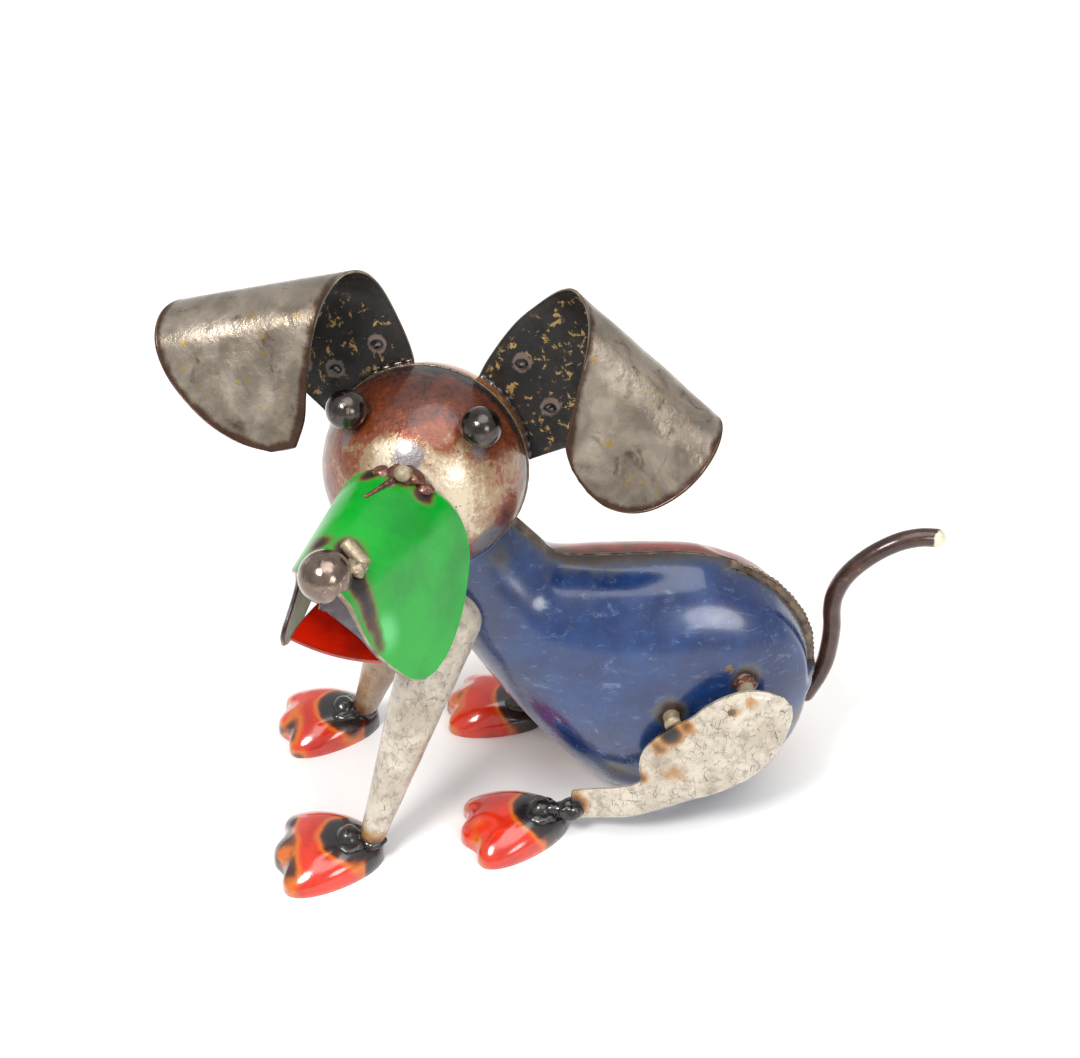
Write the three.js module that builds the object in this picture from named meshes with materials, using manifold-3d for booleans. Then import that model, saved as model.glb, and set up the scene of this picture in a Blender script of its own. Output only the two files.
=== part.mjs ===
// Sitting dog welded from scrap sheet, steel balls and round rod.
// Millimetres, +Z up. The dog faces -Y, its left side is +X, and it sits on the plane Z = 0.
import * as THREE from 'three';
import { mergeVertices } from 'three/addons/utils/BufferGeometryUtils.js';
import Module from 'manifold-3d';

const wasm = await Module();
wasm.setup();

// ---------------------------------------------------------------- driving dimensions

const GAP = 0.3; // air left between pieces that touch
const SHEET = 1.2; // thickness of the sheet metal
const HEAD_RADIUS = 41;
const HEAD_WALL = 1.5;
const HEAD_CENTRE = [0, -45.3, 175.8];
const HEAD_YAW = 76; // the head looks round to the dog's left
const HEAD_PITCH = 15.5;
const HEAD_ROLL = 2;
const EYE_RADIUS = 8;
const EYE_PLACE = [26, -28.5, 27.9]; // beside, in front of and above the head's centre

const EAR_BEND = 19; // radius of the roll at the top of each ear
const SNOUT_BEND = 25;
const SNOUT_TAPER = 0.0065; // share of the width lost for each millimetre forward
const SNOUT_PLACE = [-1.8, -41.9, 9.5];
const NOSE_RADIUS = 9.8;
const NOSE_FORWARD = 60.5; // along the snout's ridge

const LEG_FOOT_RADIUS = 5.4;
const LEG_TOP_RADIUS = 15;
const PAW_HEIGHT = 14.5;
const KNOB_RADIUS = 5.6; // weld lump on each paw
const WELD_RADIUS = 6.4; // weld round the end of each leg
const STUB_RADIUS = 3.6; // cut rods behind the thighs
const TAIL_RADIUS = 3.8;

const COLOURS = {
  blue: 0x24488f,
  red: 0xc2331a,
  cream: 0xd8cdb6,
  green: 0x12a33c,
  steel: 0x8d857a,
  head: 0xa98a63,
  darkSteel: 0x3f3836,
  burnt: 0x2c2826,
  brown: 0x4a2a24,
};

const dog = new THREE.Group();

// ---------------------------------------------------------------- solids and helpers

function finish(colour, roughness, metalness) {
  return new THREE.MeshStandardMaterial({ color: colour, roughness, metalness });
}

function addMesh(parent, name, geometry, material) {
  const mesh = new THREE.Mesh(geometry, material);
  mesh.name = name;
  parent.add(mesh);
  return mesh;
}

/** Yaw turns to the dog's left, pitch looks up and roll leans the top to the left. */
function turn(object, yaw, pitch, roll) {
  const rad = THREE.MathUtils.degToRad;
  object.rotation.set(rad(-pitch), rad(roll), rad(yaw), 'ZXY');
  return object;
}

function signedVolume(points, faces) {
  let sum = 0;
  const cross = new THREE.Vector3();
  for (const [a, b, c] of faces) {
    cross.crossVectors(points[b], points[c]);
    sum += points[a].dot(cross);
  }
  return sum / 6;
}

/** Indexed geometry with its faces turned outwards. */
function geometryFrom(points, faces) {
  const flip = signedVolume(points, faces) < 0;
  const index = faces.flatMap(([a, b, c]) => (flip ? [a, c, b] : [a, b, c]));
  const geometry = new THREE.BufferGeometry().setFromPoints(points);
  geometry.setIndex(index);
  geometry.computeVertexNormals();
  return geometry;
}

function toManifold(geometry) {
  const plain = geometry.clone();
  plain.deleteAttribute('normal');
  plain.deleteAttribute('uv');
  const merged = mergeVertices(plain, 1e-4);
  return new wasm.Manifold(new wasm.Mesh({
    numProp: 3,
    vertProperties: new Float32Array(merged.attributes.position.array),
    triVerts: new Uint32Array(merged.index.array),
  }));
}

function toGeometry(manifold) {
  const mesh = manifold.getMesh();
  const geometry = new THREE.BufferGeometry();
  geometry.setAttribute('position', new THREE.BufferAttribute(mesh.vertProperties, 3));
  geometry.setIndex(new THREE.BufferAttribute(mesh.triVerts, 1));
  geometry.computeVertexNormals();
  return geometry;
}

function cut(geometry, ...tools) {
  let solid = toManifold(geometry);
  for (const tool of tools) {
    solid = solid.subtract(toManifold(tool));
  }
  return toGeometry(solid);
}

/** Faceted sphere whose flats clear a ball or dome by the usual gap. */
function clearSphere(radius, centre, sectors = 24) {
  const reach = (radius + GAP) / Math.cos(Math.PI / sectors) ** 2;
  return new THREE.SphereGeometry(reach, sectors, sectors / 2).translate(...centre);
}

/** Round bar between two points, grown for use as a cutting tool. */
function bar(from, to, radiusFrom, radiusTo, sides) {
  const start = new THREE.Vector3(...from);
  const end = new THREE.Vector3(...to);
  const along = end.clone().sub(start);
  const geometry = new THREE.CylinderGeometry(radiusTo, radiusFrom, along.length(), sides);
  const spin = new THREE.Quaternion().setFromUnitVectors(new THREE.Vector3(0, 1, 0), along.clone().normalize());
  geometry.applyQuaternion(spin);
  return geometry.translate(...start.add(end).multiplyScalar(0.5).toArray());
}

/**
 * Bent sheet between two edges that run the same way. Each edge is a curve in the flat pattern,
 * surface(a, c) bends the pattern into space, and the sheet is built to both sides of it.
 */
function sheetBetween(edgeA, edgeB, surface, thickness, rows, columns) {
  const step = 0.05;
  const front = [];
  const back = [];
  for (let i = 0; i <= rows; i += 1) {
    const t = (1 - Math.cos((Math.PI * i) / rows)) / 4 + i / rows / 2;
    const from = edgeA.getPoint(t);
    const to = edgeB.getPoint(t);
    for (let j = 0; j <= columns; j += 1) {
      const flat = from.clone().lerp(to, j / columns);
      const point = surface(flat.x, flat.y);
      const alongA = surface(flat.x + step, flat.y).sub(surface(flat.x - step, flat.y));
      const alongC = surface(flat.x, flat.y + step).sub(surface(flat.x, flat.y - step));
      const normal = alongA.cross(alongC).normalize().multiplyScalar(thickness / 2);
      front.push(point.clone().add(normal));
      back.push(point.clone().sub(normal));
    }
  }
  const wide = columns + 1;
  const far = front.length;
  const faces = [];
  const quad = (a, b, c, d) => faces.push([a, b, c], [a, c, d]);
  for (let i = 0; i < rows; i += 1) {
    for (let j = 0; j < columns; j += 1) {
      const p = i * wide + j;
      quad(p, p + 1, p + wide + 1, p + wide);
      quad(far + p, far + p + wide, far + p + wide + 1, far + p + 1);
    }
    const left = i * wide;
    const right = left + columns;
    quad(left, left + wide, far + left + wide, far + left);
    quad(right, far + right, far + right + wide, right + wide);
  }
  for (let j = 0; j < columns; j += 1) {
    const last = rows * wide + j;
    quad(j, far + j, far + j + 1, j + 1);
    quad(last, last + 1, far + last + 1, far + last);
  }
  return geometryFrom([...front, ...back], faces);
}

/**
 * Bowl between an outer and an inner skin, open along its edge. skin(share, index, inset) gives a
 * point: share runs from 0 at the middle to 1 at the edge, index counts round the edge, and inset
 * is the depth below the outer skin. Without a wall the bowl is filled.
 */
function bowl(skin, rings, sectors, wall) {
  const points = [];
  const layer = (inset) => {
    const first = points.length;
    points.push(skin(0, 0, inset));
    for (let i = 1; i <= rings; i += 1) {
      for (let j = 0; j < sectors; j += 1) {
        points.push(skin(i / rings, j, inset));
      }
    }
    return first;
  };
  const faces = [];
  const at = (first, ring, j) => (ring ? first + 1 + (ring - 1) * sectors + (j % sectors) : first);
  const outer = layer(0);
  const skins = wall ? [[outer, 1], [layer(wall), -1]] : [[outer, 1]];
  for (const [first, way] of skins) {
    for (let i = 0; i < rings; i += 1) {
      for (let j = 0; j < sectors; j += 1) {
        const a = at(first, i, j);
        const b = at(first, i + 1, j);
        const c = at(first, i + 1, j + 1);
        const d = at(first, i, j + 1);
        faces.push(way > 0 ? [a, b, c] : [a, c, b]);
        if (i) {
          faces.push(way > 0 ? [a, c, d] : [a, d, c]);
        }
      }
    }
  }
  if (wall) {
    const inner = skins[1][0];
    for (let j = 0; j < sectors; j += 1) {
      const a = at(outer, rings, j);
      const b = at(outer, rings, j + 1);
      const c = at(inner, rings, j + 1);
      const d = at(inner, rings, j);
      faces.push([a, c, b], [a, d, c]);
    }
  } else {
    const middle = points.length;
    const rim = Array.from({ length: sectors }, (_, j) => points[at(outer, rings, j)]);
    const sum = rim.reduce((total, point) => total.add(point), new THREE.Vector3());
    points.push(sum.multiplyScalar(1 / sectors));
    for (let j = 0; j < sectors; j += 1) {
      faces.push([middle, at(outer, rings, j + 1), at(outer, rings, j)]);
    }
  }
  return geometryFrom(points, faces);
}

const flatCurve = (pairs) => new THREE.SplineCurve(pairs.map(([a, c]) => new THREE.Vector2(a, c)));

/** Even points round a closed outline, each with its outward direction. */
function roundOutline(pairs, count) {
  const loop = new THREE.CatmullRomCurve3(pairs.map(([x, y]) => new THREE.Vector3(x, y, 0)), true);
  const points = loop.getSpacedPoints(count).slice(0, count);
  return points.map((point, i) => {
    const along = points[(i + 1) % count].clone().sub(points[(i + count - 1) % count]).normalize();
    return { point, outward: new THREE.Vector3(-along.y, along.x, 0) };
  });
}

// ---------------------------------------------------------------- body

// The two halves meet on the mid-plane along these edges, as Y and Z. Both run from the neck,
// inside the head, to the rump.
const BACK_EDGE = [
  [-30, 168], [-20, 158.5], [-9.4, 146.6], [-1, 136.8], [4, 130.8], [11, 128], [21, 127], [33, 126.7],
  [46, 126.7], [58, 126.2], [70, 124.4], [81, 121], [91, 116], [100, 109.2], [107.5, 100.5],
  [113.5, 91], [117.5, 80.5], [118.9, 70],
];
const BELLY_EDGE = [
  [-58, 146], [-51, 125], [-40, 103], [-27, 80], [-12, 57], [4, 35], [18, 18.5], [31, 7], [46, 0.7],
  [62, -0.42], [78, 2.4], [92, 9.5], [104, 20], [112.5, 33], [117, 47], [118.9, 60],
];
// Half width of the body at shares of the way from neck to rump.
const BODY_WIDTHS = [
  [0, 17], [0.15, 20], [0.3, 27], [0.45, 33], [0.58, 35], [0.7, 33.5], [0.8, 27.5], [0.88, 20], [0.95, 12],
  [1, 4],
];
const BODY_ROWS = 14;
const BODY_COLUMNS = 9;
const backCurve = flatCurve(BACK_EDGE);
const bellyCurve = flatCurve(BELLY_EDGE);

/** Half width at a share of the way from neck to rump. */
function bodyWidth(share) {
  const next = Math.max(1, BODY_WIDTHS.findIndex(([at]) => at >= share));
  const [[from, low], [to, high]] = [BODY_WIDTHS[next - 1], BODY_WIDTHS[next]];
  return low + ((high - low) * (share - from)) / (to - from);
}

/**
 * Filled half of the body, flat on the mid-plane. Each row runs from the back edge to the belly
 * edge and swells as half an ellipse, with a sharper seam at the neck. inset shrinks it all round.
 */
function halfBody(side, inset, flatFace) {
  const points = [];
  const faces = [];
  const wide = BODY_COLUMNS + 1;
  for (let i = 0; i <= BODY_ROWS; i += 1) {
    const t = (i / BODY_ROWS) * Math.min(1, 1 - 0.006 * inset);
    const from = backCurve.getPointAt(t);
    const to = bellyCurve.getPointAt(t);
    const along = to.clone().sub(from).normalize().multiplyScalar(inset);
    from.add(along);
    to.sub(along);
    const ridge = 1.7 - 0.7 * THREE.MathUtils.smoothstep(t, 0.1, 0.4);
    const reach = Math.max(1, bodyWidth(t) - inset);
    for (let j = 0; j <= BODY_COLUMNS; j += 1) {
      const round = (j / BODY_COLUMNS) * Math.PI;
      const place = from.clone().lerp(to, (1 - Math.cos(round)) / 2);
      const swell = (reach - flatFace) * Math.max(0, Math.sin(round)) ** ridge;
      points.push(new THREE.Vector3(side * (flatFace + swell), place.x, place.y));
    }
  }
  for (let i = 0; i < BODY_ROWS; i += 1) {
    for (let j = 0; j < BODY_COLUMNS; j += 1) {
      const p = i * wide + j;
      faces.push([p, p + 1, p + wide + 1], [p, p + wide + 1, p + wide]);
    }
    const row = i * wide;
    const far = row + BODY_COLUMNS;
    faces.push([row, row + wide, far + wide], [row, far + wide, far]);
  }
  const last = BODY_ROWS * wide;
  for (let j = 1; j < BODY_COLUMNS; j += 1) {
    faces.push([0, j + 1, j], [last, last + j, last + j + 1]);
  }
  return geometryFrom(points, faces);
}

const headTool = clearSphere(HEAD_RADIUS, HEAD_CENTRE);
const bodySolid = { 1: halfBody(1, -2 * GAP, -GAP), '-1': halfBody(-1, -2 * GAP, -GAP) };
for (const [side, name, colour] of [[1, 'body_left_shell', COLOURS.blue], [-1, 'body_right_shell', COLOURS.red]]) {
  const shell = cut(halfBody(side, 0, GAP / 2), halfBody(side, SHEET, -1), headTool);
  addMesh(dog, name, shell, finish(colour, 0.35, 0.3));
}

// ---------------------------------------------------------------- head

const head = turn(new THREE.Group(), HEAD_YAW, HEAD_PITCH, HEAD_ROLL);
head.position.set(...HEAD_CENTRE);
dog.add(head);

/** Half of the head, dished from a disc, with its open edge in the plane across the ears. */
function headDome(facing) {
  const sectors = 22;
  return bowl((share, index, inset) => {
    const slope = (share * Math.PI) / 2;
    const round = (index / sectors) * Math.PI * 2;
    const radius = HEAD_RADIUS - inset;
    const out = radius * Math.sin(slope);
    const forward = GAP / 2 + (radius - GAP / 2) * Math.cos(slope);
    return new THREE.Vector3(out * Math.cos(round), facing * forward, out * Math.sin(round));
  }, 5, sectors, HEAD_WALL);
}

const eyeTools = [1, -1].map((side) => clearSphere(EYE_RADIUS, [side * EYE_PLACE[0], EYE_PLACE[1], EYE_PLACE[2]], 16));
addMesh(head, 'head_front_dome', cut(headDome(-1), ...eyeTools), finish(COLOURS.head, 0.35, 0.7));
addMesh(head, 'head_back_dome', headDome(1), finish(COLOURS.brown, 0.3, 0.5));
for (const [side, name] of [[1, 'eye_left'], [-1, 'eye_right']]) {
  const eye = addMesh(head, name, new THREE.SphereGeometry(EYE_RADIUS, 12, 8), finish(COLOURS.darkSteel, 0.25, 1));
  eye.position.set(side * EYE_PLACE[0], EYE_PLACE[1], EYE_PLACE[2]);
}

/** Cross-section of a rolled sheet: c is measured round it from the crest, c > 0 on the front. */
function rolled(c, radius, reachBack, reachFront) {
  const reach = THREE.MathUtils.degToRad(c > 0 ? reachFront : reachBack);
  const angle = Math.min(Math.abs(c) / radius, reach);
  const rest = Math.abs(c) - angle * radius;
  const out = radius * Math.sin(angle) + rest * Math.cos(angle);
  const down = radius * (1 - Math.cos(angle)) + rest * Math.sin(angle);
  return [Math.sign(c) * out, -down];
}

// Each ear is a petal. It is welded to the back dome by its narrow end, rises behind the head,
// rolls over forwards and hangs down outside. a runs outwards and c round the roll.
const EARS = [
  {
    name: 'ear_left',
    side: 1,
    place: [54.5, -5.9, 77.5],
    droop: 36,
    inner: [
      [-2, -86], [-4, -74], [-7.5, -60], [-9, -42], [-7, -28], [-3.5, -14], [1.5, -3], [7, 5], [12.5, 13],
      [18, 22], [24, 33], [30, 44], [35, 52], [42, 56.5],
    ],
    outer: [
      [26, -92], [30.5, -80.5], [37, -68], [45, -54], [54, -38], [63, -22], [71, -6], [76, 9], [78.5, 22],
      [78.5, 34], [75, 46], [69, 54], [60.5, 58.5], [52, 59],
    ],
  },
  {
    name: 'ear_right',
    side: -1,
    place: [-30.8, -11.1, 76.7],
    droop: 16,
    inner: [
      [-7, -76], [-10, -64], [-10.5, -50], [-9, -39], [-5.5, -25], [-2, -11], [2, -1], [6, 10], [11, 21],
      [15, 30], [18.5, 40], [21.5, 50.5], [24, 60], [29, 69],
    ],
    outer: [
      [23, -82], [29, -68.5], [36, -58], [44, -46], [53, -33], [62, -19], [70, -5], [75.5, 9], [77, 22],
      [75, 34], [69.5, 45], [61, 56], [50.5, 64.5], [39, 69.5],
    ],
  },
];
for (const ear of EARS) {
  const frame = new THREE.Group();
  frame.position.set(...ear.place);
  frame.rotation.y = THREE.MathUtils.degToRad(ear.side * ear.droop);
  head.add(frame);
  const surface = (a, c) => {
    const [forward, up] = rolled(c, EAR_BEND, 90, 80);
    return new THREE.Vector3(ear.side * a, -forward, up);
  };
  const petal = sheetBetween(flatCurve(ear.inner), flatCurve(ear.outer), surface, SHEET, 20, 4);
  frame.updateMatrix();
  const toFrame = frame.matrix.clone().invert();
  const tool = clearSphere(HEAD_RADIUS, [0, 0, 0]).applyMatrix4(toFrame);
  addMesh(frame, ear.name, cut(petal, tool), finish(COLOURS.steel, 0.5, 0.8));
}

// ---------------------------------------------------------------- snout, jaw and nose

const snoutFrame = turn(new THREE.Group(), -12, -17.6, 6);
snoutFrame.position.set(...SNOUT_PLACE);
head.add(snoutFrame);
snoutFrame.updateMatrix();
const headInSnout = clearSphere(HEAD_RADIUS, [0, 0, 0]).applyMatrix4(snoutFrame.matrix.clone().invert());

// The snout is a sheet bent over a ridge, with a long cheek on each side. a runs forwards from
// the head and c down the cheeks from the ridge, c > 0 on the dog's left.
const SNOUT_BACK_EDGE = [
  [53, -91], [45, -89.5], [36, -84.5], [27, -77.5], [18, -69], [9, -58], [2, -45], [-1, -32], [-2, -17],
  [-1, -4], [-1, 8], [-3, 20], [-5, 33], [-2.5, 44], [4.5, 54.5], [12.5, 65], [20.5, 74], [29.5, 83],
  [38.5, 90],
];
const SNOUT_FRONT_EDGE = [
  [58.5, -88], [60.5, -80], [58, -71], [52.5, -61], [48.5, -52], [48.5, -44], [52.5, -35], [59, -25],
  [64.5, -14], [67.5, -3], [68.5, 9], [68.5, 21], [67.5, 33], [66.5, 46], [65, 59], [62, 71], [58, 81],
  [53, 89.5], [46, 92.5],
];
const snoutSurface = (a, c) => {
  const [side, up] = rolled(c, SNOUT_BEND, 84, 68);
  const narrow = 1 - SNOUT_TAPER * a;
  return new THREE.Vector3(side * narrow, -a, up * narrow);
};
const noseCentre = [1, -NOSE_FORWARD, -2.5];
const SNOUT_ROD = { from: [3.2, 3, -1.5], to: [3.8, -4.5, 5.5], radius: 3.2 };
const snoutSheet = sheetBetween(
  flatCurve(SNOUT_BACK_EDGE), flatCurve(SNOUT_FRONT_EDGE), snoutSurface, SHEET, 24, 3);
const rodTool = bar(SNOUT_ROD.from, SNOUT_ROD.to, SNOUT_ROD.radius + GAP, SNOUT_ROD.radius + GAP, 12);
addMesh(
  snoutFrame, 'snout', cut(snoutSheet, headInSnout, clearSphere(NOSE_RADIUS, noseCentre, 16), rodTool),
  finish(COLOURS.green, 0.25, 0));

const snoutRod = bar(SNOUT_ROD.from, SNOUT_ROD.to, SNOUT_ROD.radius, SNOUT_ROD.radius, 12);
addMesh(snoutFrame, 'snout_rod', cut(snoutRod, headInSnout), finish(COLOURS.steel, 0.6, 0.8));

const nose = addMesh(
  snoutFrame, 'nose_ball', new THREE.SphereGeometry(NOSE_RADIUS, 14, 9), finish(COLOURS.darkSteel, 0.25, 1));
nose.position.set(...noseCentre);

const noseRod = bar([2.5, -47, 3.3], [12, -50.5, -0.4], 2.7, 2.7, 10);
addMesh(
  snoutFrame, 'nose_rod',
  cut(noseRod, clearSphere(NOSE_RADIUS, noseCentre, 16), sheetBetween(
    flatCurve(SNOUT_BACK_EDGE), flatCurve(SNOUT_FRONT_EDGE), snoutSurface, SHEET + 2 * GAP, 24, 3)),
  finish(COLOURS.steel, 0.6, 0.8));

// The lower jaw is a shallow trough between the cheeks, as distance forwards and sideways.
const JAW_LEFT_EDGE = [[1, 11], [12, 12.5], [26, 15], [40, 17], [52, 18.5], [61, 19.5]];
const JAW_RIGHT_EDGE = [[1, -13], [12, -15], [26, -17.5], [40, -18.5], [52, -18.5], [60, -17.5]];
const jawSurface = (a, side) => {
  const sag = 3 - 0.008 * side * side;
  return new THREE.Vector3(side + 3.5, -a, -36.3 - sag + 0.11 * side - 0.1 * (61 - a));
};
addMesh(
  snoutFrame, 'lower_jaw',
  cut(sheetBetween(flatCurve(JAW_LEFT_EDGE), flatCurve(JAW_RIGHT_EDGE), jawSurface, SHEET, 4, 7), headInSnout),
  finish(COLOURS.red, 0.25, 0));

// ---------------------------------------------------------------- paws and front legs

// Half of a paw's outline from the heel to the middle toe, as distance sideways and forwards.
const PAW_HALF = [
  [4.5, 0.6], [9.5, 4.5], [14, 11], [17.8, 19], [20.4, 27.5], [21.2, 35], [19.8, 40.5], [15.5, 43], [10.5, 42.2],
  [7.3, 43.8], [3.8, 46.4],
];
const PAW_OUTLINE = [
  [0, 0], ...PAW_HALF.map(([side, ahead]) => [side, -ahead]), [0, -47.2],
  ...PAW_HALF.map(([side, ahead]) => [-side, -ahead]).reverse(),
];
const PAW_MIDDLE = new THREE.Vector3(0, -27, 0);
const PAW_SECTORS = 28;
const PAW_RINGS = 3;
const PAW_RIM = roundOutline(PAW_OUTLINE, PAW_SECTORS);

/** Domed sheet with steep sides and three toes; it is lowest at the toes. */
function pawSkin(grow, breadth) {
  return (share, index, inset) => {
    const { point, outward } = PAW_RIM[index];
    const slope = (share * Math.PI) / 2;
    const place = point.clone().addScaledVector(outward, grow - inset).sub(PAW_MIDDLE);
    place.multiplyScalar(Math.sin(slope) ** 0.8).add(PAW_MIDDLE);
    place.x *= breadth;
    const height = PAW_HEIGHT + 0.09 * (place.y - PAW_MIDDLE.y);
    place.z = (height + grow - inset) * Math.cos(slope) ** 0.62;
    return place;
  };
}

// Each paw stands under its leg, placed by its heel. spin turns the toes to the dog's left, knob
// is the middle of the weld lump on top and foot the end of the leg.
const PAWS = [
  { name: 'front_left', heel: [39.5, -71, 0], spin: 1, breadth: 1.1, knob: [42, -85.5, 15], foot: [42, -75.5, 12.5] },
  { name: 'front_right', heel: [-47, -73, 0], spin: 5, breadth: 1, knob: [-42, -89, 15], foot: [-42.5, -79, 12.5] },
  { name: 'hind_left', heel: [26, 9.5, 0], spin: 10, breadth: 0.98, knob: [31, -2, 15], foot: [33, 11, 16] },
  { name: 'hind_right', heel: [-42, 5, 0], spin: -16, breadth: 0.95, knob: [-43, -6, 15], foot: [-34, 9, 16] },
];

for (const paw of PAWS) {
  paw.frame = new THREE.Group();
  paw.frame.position.set(...paw.heel);
  paw.frame.rotation.z = THREE.MathUtils.degToRad(paw.spin);
  paw.frame.updateMatrix();
  dog.add(paw.frame);
  const shell = bowl(pawSkin(0, paw.breadth), PAW_RINGS, PAW_SECTORS, SHEET);
  addMesh(paw.frame, `paw_${paw.name}`, shell, finish(COLOURS.red, 0.25, 0));
}
const pawTool = (paw) => bowl(pawSkin(GAP, paw.breadth), PAW_RINGS, PAW_SECTORS, 0);

const LEGS = [
  { paw: PAWS[0], side: 1, top: [19, -40, 113] },
  { paw: PAWS[1], side: -1, top: [-19, -50, 113] },
];

/** Tapered tube from foot to top with a rounded shoulder; without a wall it is filled. */
function legForm({ paw, top }, grow, wall) {
  const start = new THREE.Vector3(...paw.foot);
  const along = new THREE.Vector3(...top).sub(start);
  const length = along.length();
  const side = (radius, atFoot) => {
    const dome = Array.from({ length: 4 }, (_, i) => {
      const slope = (i / 4) * (Math.PI / 2);
      return new THREE.Vector2(radius * Math.cos(slope), length + radius * Math.sin(slope));
    });
    return [new THREE.Vector2(atFoot, -grow), ...dome, new THREE.Vector2(0, length + radius)];
  };
  const outside = side(LEG_TOP_RADIUS + grow, LEG_FOOT_RADIUS + grow);
  const inside = wall ? side(LEG_TOP_RADIUS - wall, LEG_FOOT_RADIUS - wall) : [new THREE.Vector2(0, -grow)];
  const form = new THREE.LatheGeometry([...inside.reverse(), ...outside], 14);
  const spin = new THREE.Quaternion().setFromUnitVectors(new THREE.Vector3(0, 1, 0), along.clone().normalize());
  return form.applyQuaternion(spin).translate(...paw.foot);
}

const legSolids = {};
for (const leg of LEGS) {
  const { name, frame } = leg.paw;
  legSolids[name] = (paw) => inFrame(paw, legForm(leg, GAP, 0));
  const shell = cut(legForm(leg, 0, SHEET), bodySolid[leg.side], pawTool(leg.paw).applyMatrix4(frame.matrix));
  addMesh(dog, name.replace('front', 'front_leg'), shell, finish(COLOURS.cream, 0.4, 0));
}

// ---------------------------------------------------------------- hind legs

// Thigh and lower leg are cut from one sheet. It bulges over the thigh and leans in to the paw.
const THIGH_MIDDLE = [74, 57];
const THIGH_REACH = 33;
const HIND_TOP_EDGE = [
  [12, 24.5], [23, 27.5], [33, 31], [40.5, 36.5], [39.5, 45], [41, 54], [46, 62.5], [53, 69.5], [60, 74],
  [66, 79.5], [73, 83.5], [82, 85.5], [91, 84], [98.5, 80],
];
const HIND_LOWER_EDGE = [
  [9, 7.5], [23, 10.5], [36, 14.5], [46, 19], [56, 22.5], [66, 26], [75, 30.5], [84, 36.5], [91, 43],
  [96, 50], [99.5, 57], [101.5, 64], [102.5, 70], [102, 75.5],
];
const hindSurface = (side) => (y, z) => {
  const away = Math.hypot(y - THIGH_MIDDLE[0], z - THIGH_MIDDLE[1]) / THIGH_REACH;
  const bulge = 4.5 * Math.max(0, 1 - away * away);
  const lean = 9 * THREE.MathUtils.smoothstep(48 - y, 0, 38);
  return new THREE.Vector3(side * (42 + bulge - lean), y, z);
};
const hindSheet = (side, thickness) => sheetBetween(
  flatCurve(HIND_TOP_EDGE), flatCurve(HIND_LOWER_EDGE), hindSurface(side), thickness, 14, 4);
for (const [side, name] of [[1, 'left'], [-1, 'right']]) {
  const tool = hindSheet(side, SHEET + 2 * GAP);
  legSolids[`hind_${name}`] = (frame) => inFrame(frame, tool)
    .add(inFrame(frame, tool.clone().translate(0, -GAP, GAP)))
    .add(inFrame(frame, tool.clone().translate(0, -GAP, -GAP)));
  addMesh(dog, `hind_leg_${name}`, hindSheet(side, SHEET), finish(COLOURS.cream, 0.4, 0));
}

const STUBS = [['front', 52.5, 69], ['rear', 83, 82]];
for (const [side, sideName] of [[1, 'left'], [-1, 'right']]) {
  for (const [end, y, z] of STUBS) {
    const stub = bar([side * 20, y, z], [side * 41.5, y, z], STUB_RADIUS, STUB_RADIUS, 10);
    const piece = cut(stub, bodySolid[side], hindSheet(side, SHEET + 2 * GAP));
    addMesh(dog, `thigh_stub_${end}_${sideName}`, piece, finish(COLOURS.burnt, 0.6, 0.7));
  }
}

/** Solid of a geometry that lies in the dog's frame, moved into a paw's frame. */
function inFrame(frame, geometry) {
  return toManifold(geometry.clone().applyMatrix4(frame.matrix.clone().invert()));
}

for (const { name, frame, breadth, knob, foot } of PAWS) {
  const [x, y, z] = foot;
  const lump = new THREE.IcosahedronGeometry(KNOB_RADIUS, 1).translate(...knob);
  const collar = new THREE.IcosahedronGeometry(WELD_RADIUS, 1).translate(x, y, z);
  const bridge = bar(knob, [x, y, z - 1], 3.5, 3.5, 8);
  const weld = inFrame(frame, lump).add(inFrame(frame, collar)).add(inFrame(frame, bridge))
    .subtract(toManifold(pawTool({ breadth })))
    .subtract(legSolids[name](frame));
  addMesh(frame, `paw_weld_${name}`, toGeometry(weld), finish(COLOURS.burnt, 0.4, 0.8));
}

// ---------------------------------------------------------------- tail

const TAIL = [
  [-1, 113, 34], [-1.5, 121.4, 50.5], [-2, 124.2, 57], [-2, 126, 64], [-2, 126.9, 74], [-2, 126.9, 83],
  [-2, 126, 92], [-2, 126.6, 100], [-2, 129.6, 108], [-2, 135, 115.2], [-2, 142.5, 121.6], [-2, 151.6, 126.4],
  [-2, 161, 128.2], [-2, 171.2, 127.4],
];
const tailPath = new THREE.CatmullRomCurve3(TAIL.map((point) => new THREE.Vector3(...point)));
const tailSection = new THREE.Shape().absarc(0, 0, TAIL_RADIUS, 0, Math.PI * 2);
const tail = new THREE.ExtrudeGeometry(tailSection, { steps: 16, curveSegments: 5, extrudePath: tailPath });
addMesh(dog, 'tail', cut(tail, bodySolid[1], bodySolid[-1]), finish(COLOURS.brown, 0.5, 0.6));

// ---------------------------------------------------------------- origin under the middle

dog.updateMatrixWorld(true);
const reach = new THREE.Box3().setFromObject(dog, true);
const middle = reach.getCenter(new THREE.Vector3());
dog.position.set(-middle.x, -middle.y, -reach.min.z);

export default dog;
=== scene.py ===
"""Sitting dog welded from painted scrap sheet, steel balls and round bar."""

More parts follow.
